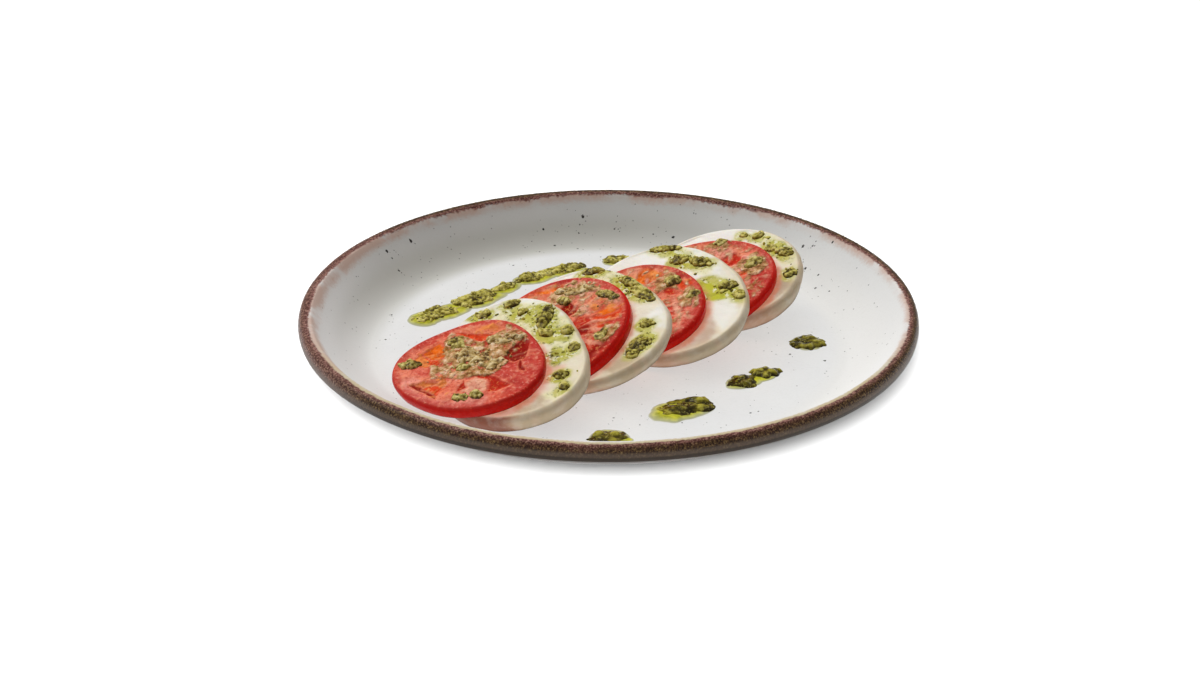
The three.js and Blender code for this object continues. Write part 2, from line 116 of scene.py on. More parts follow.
# ---- the slices, front to back ----
# Sizes in mm, angles in degrees; on a face x is uphill and y to the left. Outline and pesto are
# as in the solids: (waves, height, where) and (x, y, length, width, turn, height).
# crumbs: loose pesto, as (x, y, length, width, turn, share covered).
# layers: what the cut face shows, painted in order, as (colour, depth, shape, shape...); a shape
# is an oval [x, y, length, width, turn] or the corners of a patch.
# rubble: how much of the face is roughened by dragged pesto.
SLICES = [
    dict(name="tomato_1", along=-87.5, aside=-12, tilt=16, turn=3, radius=32, thickness=6, taper=.9,
         outline=[(2, .064, -70), (3, .039, 19), (4, .024, 27)],
         pesto=[(7, 17, 12, 7, 70, 1.8), (4, 1, 28, 12, -79, 1.2), (-15, 23, 12, 6, -56, 2),
            (-18, -14, 8, 5, -49, 1.8), (-13, -19, 7, 5, -54, 1.8), (21, -1, 18, 7, -50, 1.4),
            (-4, 1, 7, 6, -69, 2.4)],
         crumbs=[(-2, 6, 26, 20, -35, .8), (8, -5, 26, 15, -12, .7), (19, -2, 17, 12, 0, .5)],
         layers=[("pink_flesh", 0, [0, 0, 70, 70, 0]), ("warm_flesh", 0, [-24, 6, 14, 56, 0], [-6, 28, 30, 12, 0]),
            ("flesh", 0, [2, 0, 44, 40, 0]), ("light_flesh", 0, [-21, -6, 17, 46, 10]),
            ("rose", 0, [12, -24, 34, 20, 30], [25, -12, 12, 26, 0], [4, 29, 24, 7, -10]),
            ("warm_flesh", 0, [-15, -1, 20, 26, 0]),
            ("brown_orange", .7, [(-24, 13), (-20, 10), (-15, 8), (-11, 3), (-14, -1), (-19, -3), (-24, -5)]),
            # painted shadow along the left edge of the face
            ("deep", .9, [(-24.6, 13), (-22.6, 11), (-22.4, -3), (-24.6, -5)]),
            ("orange_red", .8, [(-22.4, 5), (-18, 2), (-17, -3), (-22.4, -4)]),
            ("salmon", 0, [-12, -10, 16, 4, 10], [-17, 7, 3, 10, 20]),
            ("pale", .1, [(-15, -11), (-10, -8), (-4, -9), (-3, -15), (-8, -20), (-13, -16)]),
            ("orange_red", .4, [(-12, 25), (3, 25), (4, 19), (-2, 13), (-9, 12), (-13, 16)]),
            ("orange", .5, [(-6, 24), (2, 24), (2, 17), (-3, 14), (-7, 18)]),
            ("pale_orange", .2, [(-12, 24), (-7, 25), (-8, 19), (-10, 15), (-13, 17)]), ("smear", 0, [(11, 25),
            (4, 22), (-3, 15), (-10, 13), (-16, 8), (-9, -3), (0, -13), (9, -14), (14, -10), (29, -9), (29, 6),
            (18, 5), (12, 8)]), ("orange_red", .6, [(11.5, 23.5), (16, 15), (20, 6), (13, 7)]),
            ("salmon", 0, [(12.5, 23.5), (19, 20), (28, 9), (26, 5), (20, 7), (16, 15)]),
            ("pale_orange", .1, [22, 12, 9, 5, 110]),
            ("deep", .9, [(10, -11), (15, -8), (26, -7), (25, -12), (20, -15), (16, -18), (12, -16)]),
            ("deep", .6, [(12, -18), (14, -17), (10, -25), (8.5, -22)]),
            ("red_gel", .6, [(-4, -9), (-1, -11), (0, -18), (0, -27), (-6, -24), (-8, -21), (-3, -15)]),
            ("red_gel", .3, [(-16, -9), (-9, -6), (-11, -11)])]),
    dict(name="mozzarella_1", along=-70, aside=-17, tilt=19, turn=2, radius=38, thickness=8.5, taper=1.2,
         outline=[(2, .12, 62), (3, .035, 40)],
         pesto=[(14, 34, 8, 5, -41, 1.4), (26, 28, 9, 5, -34, 1.6), (25, 19, 6, 5, -21, 1.6), (27, 6, 18, 7, 31, 2),
            (20, -2, 7, 5, -76, 1.6), (26, -10, 6, 7, -31, 2), (20, -21, 6, 6, -46, 1.8), (4, -29, 7, 6, -26, 1.6),
            (0, -36, 5, 5, -52, 1.6)],
         crumbs=[(24, 17, 16, 24, 0, .4), (25, 4, 16, 22, 0, .45), (21, -12, 14, 20, 0, .35),
            (12.5, -16, 7, 6, -20, 1.6), (4, -30, 14, 8, -30, .35), (14, 33, 16, 8, -30, .35)],
         layers=[("pale_oil", 0, [22, 8, 24, 44, 0]),
            ("oil", 0, [14, 34, 13, 8, -30], [27, 9, 13, 20, 0], [20, -4, 12, 12, 0], [22, 18, 10, 12, 0]),
            ("pale_oil", 0, [18, -18, 14, 14, 0]), ("oil", 0, [3, -28, 10, 9, 0]),
            ("pale_oil", 0, [-7, -35, 9, 6, -20]), ("oil", 0, [11, -18, 9, 12, -20]),
            ("green", 0, [12, -16, 4, 4, 0], [8, -21.5, 4, 6, -20]), ("pink", 0, [4, -24, 10, 6, -40]),
            # painted shade on the lower face, next to the tomato in front
            ("beige", 0, [-20, -30, 22, 20, 0])]),
    dict(name="tomato_2", along=-42, aside=-9, tilt=20, turn=0, radius=36, thickness=5.5, taper=-1, rubble=.42,
         outline=[(2, .08, 4), (3, .015, 36)],
         pesto=[(27, 11, 20, 7, -45, 1.6), (32, -5, 14, 5, -79, 1.6), (18, 11, 8, 5, -80, 1.6),
            (12, -23, 8, 6, 9, 1.6)],
         crumbs=[(26, 10, 22, 16, -45, .55), (29, -3, 12, 20, 0, .45), (20, -5, 10, 12, 0, .25),
            (16, -25, 12, 6, 0, .4)],
         layers=[("warm_flesh", 0, [22, 10, 40, 50, 0]), ("light_flesh", 0, [30, 4, 16, 36, 0]),
            ("red_gel", .2, [0, -24, 30, 16, -62]), ("salmon", 0, [17, 24, 15, 10, -20]),
            ("orange", .2, [18, 24, 10, 2.5, -50], [22, 20, 10, 2.5, -40]), ("crimson", 0, [28, 22, 16, 4, -50]),
            ("smear", 0, [(14, 14), (17, 18), (24, 19), (31, 17), (35, 10), (36, 0), (33, -9), (28, -13), (24, -8),
            (25, 0), (22, 6), (16, 8)]), ("deep", .7, [(12, 0), (14, 8), (19, 9), (19, 2), (16, -1)]),
            ("salmon", 0, [27, 0, 8, 14, 10]), ("pale", 0, [19, -3, 9, 3.5, 70]),
            ("pale_orange", 0, [23, -5, 9, 3, 70]), ("red_gel", .4, [10, -10, 13, 14, 75]),
            ("deep", .5, [8, -12, 6, 11, 75]), ("orange_red", .5, [24, -14, 14, 11, -30]),
            ("orange", .3, [24, -13, 8, 4, -40]), ("pale_orange", .2, [27, -12, 5, 2.5, -40]),
            ("smear", 0, [16, -25, 14, 7, 0]), ("deep", .2, [6, -32, 28, 8, -20]),
            ("salmon", 0, [12, -17, 9, 1.8, 60], [6, -22, 9, 1.8, 50]), ("pale_orange", 0, [20, -18, 9, 1.8, -30]),
            ("pink_flesh", 0, [36, 4, 5, 24, 5])]),
    dict(name="mozzarella_2", along=-24, aside=-15, tilt=20, turn=2, radius=38, thickness=8.5, taper=2.5,
         outline=[(2, .105, 65), (3, .045, -54)],
         pesto=[(29, 26, 12, 6, -42, 1.8), (31, 6, 13, 6, -88, 1.8), (28, -6, 16, 7, -94, 2), (14, -24, 7, 6, -50, 1),
            (0, -31, 13, 8, 21, 2.2), (5, -32, 7, 6, -16, 1.6)],
         crumbs=[(30, 14, 12, 26, 0, .4), (28, -2, 14, 24, 0, .45), (2, -32, 18, 12, 10, .4),
            (20, -14, 10, 10, 0, .15)],
         layers=[("pale_oil", 0, [30, 8, 14, 36, 0]),
            ("oil", 0, [27, 26, 15, 9, -42], [30, 2, 12, 24, 0], [4, -32, 16, 11, 10], [13, -24, 6, 9, 0]),
            # painted light on a patch of the face
            ("white", 0, [24, -27, 20, 18, 0]), ("pool", 0, [12.5, -23, 5, 7, 10]),
            # painted shade on the lower face, next to the tomato in front
            ("beige", 0, [-10, -30, 18, 26, 0])]),
    dict(name="tomato_3", along=-.5, aside=-14.5, tilt=20, turn=0, radius=33.5, thickness=5.5, taper=.2, rubble=.38,
         outline=[(2, .065, -12), (3, .045, 50)],
         pesto=[(26, -2, 8, 7, -56, 2), (24, -18, 10, 5, -30, 1.4)],
         crumbs=[(26, 2, 12, 14, 0, .5), (24, -19, 13, 12, 0, .45), (27, 14, 8, 12, 0, .2)],
         layers=[("warm_flesh", 0, [24, 4, 30, 44, 0]), ("salmon", 0, [23, 21, 12, 10, -30]),
            ("orange", .4, [21, 13, 13, 12, 0]), ("pale_orange", .1, [25, 9, 7, 9, 0]),
            ("pale", 0, [24, 14, 3, 2, 0], [20, 9, 3, 2, 60]),
            ("smear", 0, [(18, 4), (24, 6), (30, 4), (30, -4), (24, -6), (19, -2)]),
            ("red_gel", .6, [20, -7, 6, 9, 20]), ("orange_red", .2, [30, -7, 14, 6, 65]),
            ("salmon", 0, [30, -6, 15, 2.2, 65]),
            ("smear", 0, [(17, -13), (27, -11), (32, -18), (27, -27), (18, -26), (14, -20)]),
            ("pink_flesh", 0, [12, -27, 20, 13, -20]),
            # the pale strokes: fibres with painted wet highlights on them
            ("pale", 0, [16, -15, 10, 2.2, 60], [13, -18, 9, 2, 52], [11, -22, 8, 2, 45]),
            ("pink_flesh", 0, [33, 0, 4, 26, 0]), ("pale", 0, [8, -26, 7, 1.8, 38], [20, -22, 8, 1.8, 50])]),
    dict(name="mozzarella_3", along=18.5, aside=-16, tilt=20, turn=2, radius=40, thickness=8.5, taper=2,
         outline=[(2, .08, 82), (3, .02, 38)],
         pesto=[(28, 26, 15, 5, -57, 1.6), (25, 13, 10, 5, -45, 1.6), (29, 3, 15, 7, -68, 2),
            (23, -21, 9, 6, -51, 1.8), (21, -30, 7, 7, -11, 2)],
         crumbs=[(28, 20, 12, 22, -20, .3), (27, 6, 12, 20, -20, .4), (22, -22, 12, 22, 0, .35)],
         # painted light over the upper face
         layers=[("white", 0, [24, 12, 26, 50, 0]), ("pale_oil", 0, [28, 12, 12, 36, -10]),
            ("oil", 0, [26, 14, 7, 20, -20], [18, -20, 14, 28, -12], [20, -30, 9, 11, 0]),
            ("pool", 0, [15.5, -17, 8, 25, -10]),
            # painted shadow of tomato 3 over the lower face, and beside its edge a lit wedge painted white
            ("shaded", 0, [(9, -14), (9.5, -22), (5, -27), (1, -33), (-4, -38), (-20, -42), (-26, -20), (0, -5)]),
            ("white", 0, [(10, -22), (17, -27), (16, -33), (8, -43), (-2, -40), (2, -31)])]),
    dict(name="tomato_4", along=41.5, aside=-12.5, tilt=20, turn=0, radius=35.5, thickness=5.5, taper=.2, rubble=.5,
         outline=[(2, .06, -16), (3, .025, -36)],
         pesto=[(30, 13, 8, 6, -31, 1.8), (27, -13, 12, 7, -18, 1.4)],
         crumbs=[(29, 12, 12, 14, 0, .45), (27, -13, 13, 12, 0, .5)],
         layers=[("light_flesh", 0, [26, 0, 30, 50, 0]), ("salmon", 0, [23, 21, 12, 15, -20]),
            ("smear", 0, [(24, 17), (33, 17), (35, 8), (29, 5), (24, 8)]), ("red_gel", .5, [23, -2, 9, 11, 0]),
            ("salmon", 0, [32, -1, 7, 20, 0]),
            ("smear", 0, [(20, -7), (27, -5), (33, -8), (32, -16), (25, -21), (18, -16)]),
            ("orange_red", .4, [17, -16, 6, 6, 0]), ("crimson", 0, [18, -24, 17, 12, -10]),
            # the pale strokes: fibres with painted wet highlights on them
            ("pale", 0, [19, -9, 9, 2.2, 60], [26, 2, 8, 2, 40], [15, -20, 8, 1.8, 45], [22, 6, 8, 1.8, 30]),
            ("pink_flesh", 0, [33, 2, 5, 20, 0])]),
    dict(name="mozzarella_4", along=60.5, aside=-11, tilt=20, turn=2, radius=36.5, thickness=9.5, taper=2,
         outline=[(2, .065, -76), (3, .015, 3)],
         pesto=[(26, 11, 5, 4, -54, 1.2), (29, 4, 5, 5, -63, 1.4), (25, -8, 6, 5, -49, 1.4), (26, -16, 9, 6, -68, 2),
            (16, -29, 7, 7, -55, 2)],
         crumbs=[(28, 3, 10, 16, 0, .3), (25, -12, 12, 18, 0, .35), (17, -27, 10, 12, 0, .2)],
         # painted light over the upper face
         layers=[("white", 0, [22, 14, 24, 40, 0]), ("pale_oil", 0, [28, -2, 9, 14, 0]),
            ("oil", 0, [27, -9, 9, 14, 0]), ("pale_oil", 0, [24, -20, 10, 12, 0]),
            # painted shadow of tomato 4 over the lower face
            ("dim_beige", 0, [(13, -12), (16, -22), (12, -36), (-20, -36), (-20, -18), (0, -8)])]),
]

# Pesto on the plate and the oil that has run out of it: (x, y, length, width, turn, height) from the plate's middle.
PLATE_PESTO = {
    "pesto_trail_front": [(-80, 28, 26, 12, 41, 3), (-63, 45, 27, 13.5, 43, 3.4), (-50, 58, 16, 7.5, 43, 2.4)],
    "pesto_trail_back": [(-37, 70, 19, 9.5, 30, 2.8), (-24, 79, 26, 9.5, 25, 3)],
    "pesto_dab": [(5, 92, 15, 9, 15, 2.6)],
    "pesto_drop_1": [(-1, -95, 16, 13, 3, 2.6)],
    "pesto_drop_2": [(33, -68, 24, 15, 20, 2.6), (38, -65, 15, 11, 15, 3.6)],
    "pesto_drop_3": [(59, -43, 16, 12, 34, 2.8), (69, -35, 15, 9, 18, 3)],
    "pesto_drop_4": [(91, -3, 16, 15, 0, 2.8)],
}
PLATE_OIL = [(-85, 23, 18, 17, 41, .7), (-76, 30.5, 28, 16, 41, .5), (-62, 44.5, 32, 18, 43, .5),
    (-49, 58, 20, 12, 43, .4), (-36, 69.5, 24, 13, 30, .4), (-22, 78, 29, 12, 25, .5), (5, 91, 17, 11, 15, .4),
    (0, -96, 19, 16, 3, .5), (6, -97, 10, 6, 0, .3), (30, -70.5, 30, 20, 22, .9), (60, -43, 18, 12, 30, .6),
    (67, -39, 14, 8, 20, .4), (91, -3.5, 16, 16, 0, .5)]
# The larger dark specks of the glaze, as x, y, radius.
SPECKS = [(-12.5, 124.5, 1.1), (-96.5, 85, 1.1), (33, 112.5, 1.05), (-107, 71.5, .9), (95.5, 83, 1), (-46.5, 85.5, .7),
    (-32.5, 116.5, .8), (-14.5, 117, .6), (-14, 121, .55), (3.5, 119.5, .6), (-101, 65.5, .65), (-104.5, 70, .55),
    (-26.5, 108.5, .75), (-34, 102.5, .6), (-15, 106.5, .7), (100, 80, .6), (109, 74.5, .8), (96, 70.5, .9),
    (99.5, 54.5, .75), (23, 115.5, .5), (-3.5, 96, .55), (101.5, 62.5, .7), (105.5, 48, .6), (64, 4.5, .7),
    (82, -15, .75), (97, -21.5, .9), (57.5, -21.5, .6), (43.5, -35.5, .6), (-101.5, 27.5, .7), (-102, .5, .7),
    (2, -77, .6), (-8, -83, .55), (60.5, -72.5, .75), (64, -71, .5), (13, -83.5, .5), (31, -81.5, .55), (60, -5, .5),
    (35, -35.5, .5)]


# ---- small tools ----
LATTICE_SIZE, NOISE_GAIN = 32, 1.6
LATTICE = np.random.RandomState(LATTICE_SEED).rand(LATTICE_SIZE, LATTICE_SIZE, LATTICE_SIZE) * 2 - 1


def noise(points, size, seed=0, octaves=3):
    """Smooth noise from about -1 to 1 at (n, 2) or (n, 3) points; `size` is its coarsest lump."""
    points = np.asarray(points, float)
    if points.shape[1] == 2:
        points = np.column_stack([points, np.zeros(len(points))])
    total, weight, out = 0.0, 1.0, np.zeros(len(points))
    for octave in range(octaves):
        q = points / (size / 2 ** octave) + 7.31 * seed + 3.7 * octave
        cell = np.floor(q).astype(int)
        f = q - cell
        f = f * f * (3 - 2 * f)
        for corner in range(8):
            step = np.array([corner & 1, corner >> 1 & 1, corner >> 2 & 1])
            share = np.prod(np.where(step, f, 1 - f), axis=1)
            i, j, k = ((cell + step) % LATTICE_SIZE).T
            out += weight * share * LATTICE[i, j, k]
        total += weight
        weight *= 0.5
    return out / total * NOISE_GAIN


def smooth(low, high, value):
    t = np.clip((value - low) / (high - low), 0, 1)
    return t * t * (3 - 2 * t)


def turned(u, v, angle):
    """Points turned about the origin by an angle in radians."""
    return u * math.cos(angle) - v * math.sin(angle), u * math.sin(angle) + v * math.cos(angle)


def circle(steps):
    return 2 * np.pi * np.arange(steps) / steps


def laid_over(colours, over, share):
    """Colours, (n, 3), with a share of others laid over them."""
    return colours * (1 - share[:, None]) + np.array(over) * share[:, None]


def well_height(r):
    run = np.maximum(0, r - WELL_RADIUS) / (INNER_LIP_RADIUS - WELL_RADIUS)
    return WELL_FLOOR + (INNER_LIP_HEIGHT - WELL_FLOOR) * run ** WALL_CURVE


def underside_height(r):
    run = np.maximum(0, r - UNDER_START) / (PLATE_RADIUS - EDGE_TUCK - UNDER_START)
    return FOOT_HEIGHT + (EDGE_HEIGHT - FOOT_HEIGHT) * run ** UNDER_CURVE


def mesh_object(name, corners, faces, **values):
    """A smooth-shaded mesh object; corners in mm, faces a list of (n, 3) or (n, 4) index arrays,
    and values the attributes of its corners: numbers, or colours (n, 3)."""
    mesh = bpy.data.meshes.new(name)
    corners = np.asarray(corners, float) * MM
    faces = [np.asarray(f, int) for f in faces]
    loops = np.concatenate([f.ravel() for f in faces])
    sizes = np.concatenate([np.full(len(f), f.shape[1]) for f in faces])
    mesh.vertices.add(len(corners))
    mesh.vertices.foreach_set("co", corners.astype(np.float32).ravel())
    mesh.loops.add(len(loops))
    mesh.loops.foreach_set("vertex_index", loops.astype(np.int32))
    mesh.polygons.add(len(sizes))
    mesh.polygons.foreach_set("loop_start", (np.cumsum(sizes) - sizes).astype(np.int32))
    mesh.update(calc_edges=True)
    mesh.polygons.foreach_set("use_smooth", np.ones(len(sizes), bool))
    for key, value in values.items():
        kind, field = "FLOAT", "value"
        if value.ndim == 2:
            kind, field = "FLOAT_COLOR", "color"
            value = np.column_stack([value, np.ones(len(value))])
        mesh.attributes.new(key, kind, "POINT").data.foreach_set(field, value.astype(np.float32).ravel())
    mesh.update()
    obj = bpy.data.objects.new(name, mesh)
    bpy.context.scene.collection.objects.link(obj)
    return obj


def ring_faces(rings, segments):
    """Quads between successive rings of corners, outward when the rings run outwards and down."""
    i = np.arange(segments)
    following = (i + 1) % segments
    return np.concatenate([
        np.column_stack([upper + i, upper + segments + i, upper + segments + following, upper + following])
        for upper in range(0, (rings - 1) * segments, segments)])


def fan_faces(centre, ring_start, segments, flip=False):
    i = np.arange(segments)
    following = (i + 1) % segments
    a, b = (following, i) if flip else (i, following)
    return np.column_stack([np.full(segments, centre), ring_start + a, ring_start + b])


def shell_faces(rings, segments):
    """Faces of a closed shell of rings whose last two corners are the middles of top and bottom."""
    middle = rings * segments
    return [ring_faces(rings, segments), fan_faces(middle, 0, segments),
            fan_faces(middle + 1, middle - segments, segments, flip=True)]


def dome_faces(rings, segments):
    """Triangles of an open dome of rings whose last corner is its middle."""
    quads = ring_faces(rings, segments)
    return np.concatenate([quads[:, [0, 1, 2]], quads[:, [0, 2, 3]], fan_faces(rings * segments, 0, segments)])


def put(obj, slot, *nodes):
    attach(obj, "root")
    if nodes:
        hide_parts(*nodes)
    return obj


# ---- material nodes ----
class Signal:
    """What a node gives out; signals add and multiply as numbers do."""

    def __init__(self, paint, socket):
        self.paint, self.socket = paint, socket

    def __add__(self, other):
        return self.paint.math("ADD", self, other)

    def __sub__(self, other):
        return self.paint.math("SUBTRACT", self, other)

    def __mul__(self, other):
        return self.paint.math("MULTIPLY", self, other)

    def __truediv__(self, other):
        return self.paint.math("DIVIDE", self, other)


class Paint:
    """Builds one node material."""

    def __init__(self, name, **constants):
        self.material = bpy.data.materials.new(name)
        self.material.use_nodes = True
        self.nodes, self.links = self.material.node_tree.nodes, self.material.node_tree.links
        self.shader = self.nodes["Principled BSDF"]
        for key, value in constants.items():
            self.shader.inputs[key.replace("_", " ")].default_value = value
        self.coords = self.node("TexCoord", "Object")

    def feed(self, socket, value):
        if isinstance(value, Signal):
            self.links.new(value.socket, socket)
        else:
            socket.default_value = (*value, 1) if isinstance(value, tuple) else value

    def node(self, kind, output, inputs=(), **settings):
        """A new node, its inputs fed by name or number, and one of its outputs."""
        node = self.nodes.new("ShaderNode" + kind)
        for key, value in settings.items():
            setattr(node, key, value)
        for key, value in inputs:
            self.feed(node.inputs[key], value)
        return Signal(self, node.outputs[output])

    def attribute(self, name, output="Fac"):
        return self.node("Attribute", output, attribute_name=name)

    def place(self):
        """Where the point lies: x, y and z, in metres."""
        x = self.node("SeparateXYZ", 0, [(0, self.coords)])
        return [Signal(self, socket) for socket in x.socket.node.outputs]

    def noise(self, size_mm, detail=3, roughness=0.55):
        return self.node("TexNoise", "Fac", [("Vector", self.coords), ("Scale", 1 / (size_mm * MM)),
                                             ("Detail", detail), ("Roughness", roughness)])

    def dots(self, size_mm):
        """The distance to the nearest of many scattered points."""
        return self.node("TexVoronoi", "Distance", [("Vector", self.coords), ("Scale", 1 / (size_mm * MM))])

    def math(self, operation, a, b=0.0):
        return self.node("Math", 0, [(0, a), (1, b)], operation=operation)

    def between(self, value, low, high, out_low=0.0, out_high=1.0):
        """Goes smoothly from out_low to out_high as the value goes from low to high."""
        return self.node("MapRange", "Result", interpolation_type="SMOOTHSTEP", inputs=[
            ("Value", value), ("From Min", low), ("From Max", high), ("To Min", out_low), ("To Max", out_high)])

    def mix(self, share, a, b):
        return self.node("Mix", 2, [(0, share), (6, a), (7, b)], data_type="RGBA")

    def ramp(self, value, *stops):
        ramp = self.node("ValToRGB", "Color", [("Fac", value)])
        elements = ramp.socket.node.color_ramp.elements
        while len(elements) < len(stops):
            elements.new(0.5)
        for element, (at, *colour) in zip(elements, stops):
            element.position = at
            element.color = (*colour, 1)
        return ramp

    def bump(self, height, strength, depth_mm):
        self.set("Normal", self.node("Bump", "Normal", [
            ("Strength", strength), ("Distance", depth_mm * MM), ("Height", height)]))

    def set(self, socket, value):
        self.feed(self.shader.inputs[socket], value)

    def on(self, obj):
        obj.data.materials.append(self.material)


def glaze_paint():
    p = Paint("glaze", IOR=1.5, Specular_IOR_Level=0.2)
    x, y, z = p.place()
    radius = p.math("SQRT", x * x + y * y)
    radius_mm, height_mm = radius * 1000.0, z * 1000.0
    body = p.ramp(p.noise(45, 4), (0.32, 0.765, 0.77, 0.77), (0.68, 0.815, 0.815, 0.805))
    # painted shade: the wall darker, most of all towards the far left
    toward = x * (-0.45 / 0.13) + y * (0.89 / 0.13)
    wall_shade = p.mix(p.between(toward, 0.05, 0.9), (0.80, 0.795, 0.775), (0.545, 0.54, 0.495))
    body = p.mix(p.between(radius_mm, 99, 109) * p.between(radius_mm, 120, 129, 1, 0.5), body, wall_shade)
    # painted highlight: a lighter band inside the lip on the left
    left_lip_highlight = p.between(x, -0.135, -0.105, 0.45, 0) * p.between(radius_mm, 121, 128)
    body = p.mix(left_lip_highlight, body, (0.88, 0.87, 0.85))
    body = p.mix(p.between(p.noise(1.0, 2), 0.45, 0.8, 0, 0.12), body, (0.55, 0.54, 0.50))
    # a fine pepper of dark specks
    pepper = p.between(p.dots(2.6), 0.10, 0.17, 0.7, 0) * p.between(p.noise(8, 1), 0.58, 0.62)
    body = p.mix(pepper, body, (0.10, 0.09, 0.075))
    # iron-brown rim over the crest, lower inside the far half, breaking to a pink blush
    drift = y / radius * 2.0
    wander = (p.noise(24, 3) - 0.5) * 3.0
    ragged = (p.noise(1.6, 4, 0.7) - 0.5) * 3.4
    edge = (radius_mm + drift) + (wander + ragged)
    above = p.between(height_mm, 16.5, 17.5)
    wider = p.between(x, -0.13, -0.09, 2.0, 0)
    blush = p.between(edge + wider, 131.3, 134.8, 0, 0.9) * p.between(p.noise(16, 3), 0.38, 0.56, 0.25, 1)
    body = p.mix(blush * above, body, (0.60, 0.42, 0.34))
    # a pale line along the inner lip, on the near side only: partly the glaze breaking pale, partly a painted
    # highlight
    cream = p.between(edge, 132.2, 134.0, 0, 0.85) * p.between(y, -0.09, -0.03, 1, 0)
    body = p.mix(cream * above, body, (0.56, 0.47, 0.26))
    fine = p.noise(0.8, 3, 0.65)
    at_left = p.between(x, -0.13, -0.09, 1, 0)
    brown = p.ramp(fine, (0.38, 0.014, 0.006, 0.003), (0.48, 0.055, 0.026, 0.012),
                   (0.56, 0.115, 0.062, 0.023), (0.66, 0.28, 0.18, 0.075))
    burgundy = p.ramp(fine, (0.38, 0.055, 0.015, 0.012), (0.50, 0.17, 0.062, 0.050), (0.62, 0.46, 0.25, 0.20))
    brown = p.mix(p.between(edge, 135.4, 138.0) * p.between(at_left, 0, 1, 1, 0.4), burgundy, brown)
    taupe = p.between(height_mm, 22.4, 23.8, 0.65, 0) * p.between(radius_mm, 137.6, 138.4)
    brown = p.mix(taupe, brown, (0.135, 0.100, 0.075))
    # painted shade: near black from low on the outer face down onto the underside, as they curve under the rim; less
    # of it on the left
    dark = p.between(height_mm, 20.6, 21.8, 0.88, 0) * p.between(at_left, 0, 1, 1, 0.35)
    brown = p.mix(dark, brown, (0.022, 0.013, 0.007))
    # brown from the inner lip over the crest, and on the outside down to above the foot
    below = p.between(height_mm, 12.5, 14.0) * p.between(height_mm, 18.6, 19.0, 1, 0)
    brown_share = p.math("MAXIMUM", p.between(edge, 134.5, 135.3) * above,
                         p.between(radius_mm, 128.5, 129.5) * below)
    p.set("Base Color", p.mix(brown_share, body, brown))
    p.set("Roughness", p.between(brown_share, 0, 1, 0.30, 0.42))
    p.bump(p.noise(9, 2) + fine * brown_share * 0.4, 0.3, 0.3)
    return p


def speck_paint():
    p = Paint("iron_specks", Roughness=0.35)
    p.set("Base Color", p.ramp(p.noise(3, 2), (0.4, 0.012, 0.010, 0.009), (0.6, 0.040, 0.034, 0.028)))
    return p


def tomato_paint():
    p = Paint("cut_tomato", IOR=1.36, Specular_IOR_Level=0.11, Coat_Weight=0.03, Coat_Roughness=0.08,
              Subsurface_Weight=0.08, Subsurface_Scale=0.0012, Subsurface_Radius=(1.0, 0.25, 0.12))
    tint, wet = p.attribute("tint", "Color"), p.attribute("wet")
    speckle, blotch = p.noise(1.4, 2, 0.6), p.noise(3.4, 3)
    flesh = p.mix(p.between(speckle, 0.56, 0.68, 0, 0.50), tint, (0.94, 0.42, 0.32))
    flesh = p.mix(p.between(speckle, 0.34, 0.48, 0.50, 0), flesh, (0.42, 0.012, 0.009))
    flesh = p.mix(p.between(blotch, 0.36, 0.52, 0.30, 0), flesh, (0.52, 0.030, 0.012))
    flesh = p.mix(p.between(blotch, 0.54, 0.66, 0, 0.25), flesh, (0.92, 0.34, 0.18))
    clear = p.mix(p.between(blotch, 0.38, 0.54, 0.45, 0), tint, (0.36, 0.008, 0.003))
    clear = p.mix(p.between(speckle, 0.56, 0.66, 0, 0.40), clear, (0.96, 0.36, 0.12))
    # pesto and juice dragged over the face, in rough crumbs
    rubble = p.noise(3.0, 4, 0.58)
    crust = p.ramp(rubble, (0.34, 0.17, 0.075, 0.014), (0.43, 0.36, 0.20, 0.055), (0.50, 0.52, 0.32, 0.13),
                   (0.57, 0.76, 0.51, 0.28), (0.68, 0.92, 0.73, 0.50))
    torn = (p.noise(4.0, 4, 0.65) - 0.5) * 2.0
    crusted = p.between(p.attribute("smear") + torn, 0.36, 0.86, 0, 0.9)
    skin = p.mix(p.between(blotch, 0.45, 0.65, 0, 0.35), tint, (0.70, 0.018, 0.007))
    face = p.mix(crusted, p.mix(wet, flesh, clear), crust)
    p.set("Base Color", p.mix(p.attribute("skin"), face, skin))
    p.set("Roughness", p.between(wet, 0, 1, 0.40, 0.14))
    p.bump(speckle + blotch + rubble * crusted * 5.0, 0.6, 0.45)
    return p


def cheese_paint():
    p = Paint("fresh_mozzarella", IOR=1.40, Specular_IOR_Level=0.35, Coat_Weight=0.06, Coat_Roughness=0.2,
              Subsurface_Weight=0.25, Subsurface_Scale=0.0022, Subsurface_Radius=(1.0, 0.75, 0.45))
    tint, wet = p.attribute("tint", "Color"), p.attribute("wet")
    mottle = p.between(p.noise(7, 4), 0.45, 0.7, 0, 0.2) * p.between(wet, 0, 0.6, 1, 0)
    tint = p.mix(mottle, tint, (0.95, 0.93, 0.86))
    oily = p.between(wet, 0.25, 0.8)
    blots = p.between(p.noise(4.0, 4, 0.62), 0.46, 0.60, 0, 0.75) * oily
    tint = p.mix(blots, tint, (0.44, 0.42, 0.045))
    # thin oil is broken by bare cheese and by crumbs; a deep pool is clear
    thin = oily * p.between(wet, 0.86, 0.94, 1, 0)
    bare = p.between(p.noise(3.0, 3, 0.6), 0.38, 0.48, 0.8, 0) * thin
    tint = p.mix(bare, tint, (0.91, 0.89, 0.66))
    crumbs = p.between(p.noise(1.8, 2, 0.6), 0.59, 0.64, 0, 0.9) * thin
    p.set("Base Color", p.mix(crumbs, tint, (0.11, 0.10, 0.008)))
    p.set("Roughness", p.between(wet, 0, 1, 0.45, 0.12))
    p.bump(p.noise(1.4, 3) + p.noise(3.5, 3) * 2.0 + crumbs * 1.5, 0.35, 0.3)
    return p


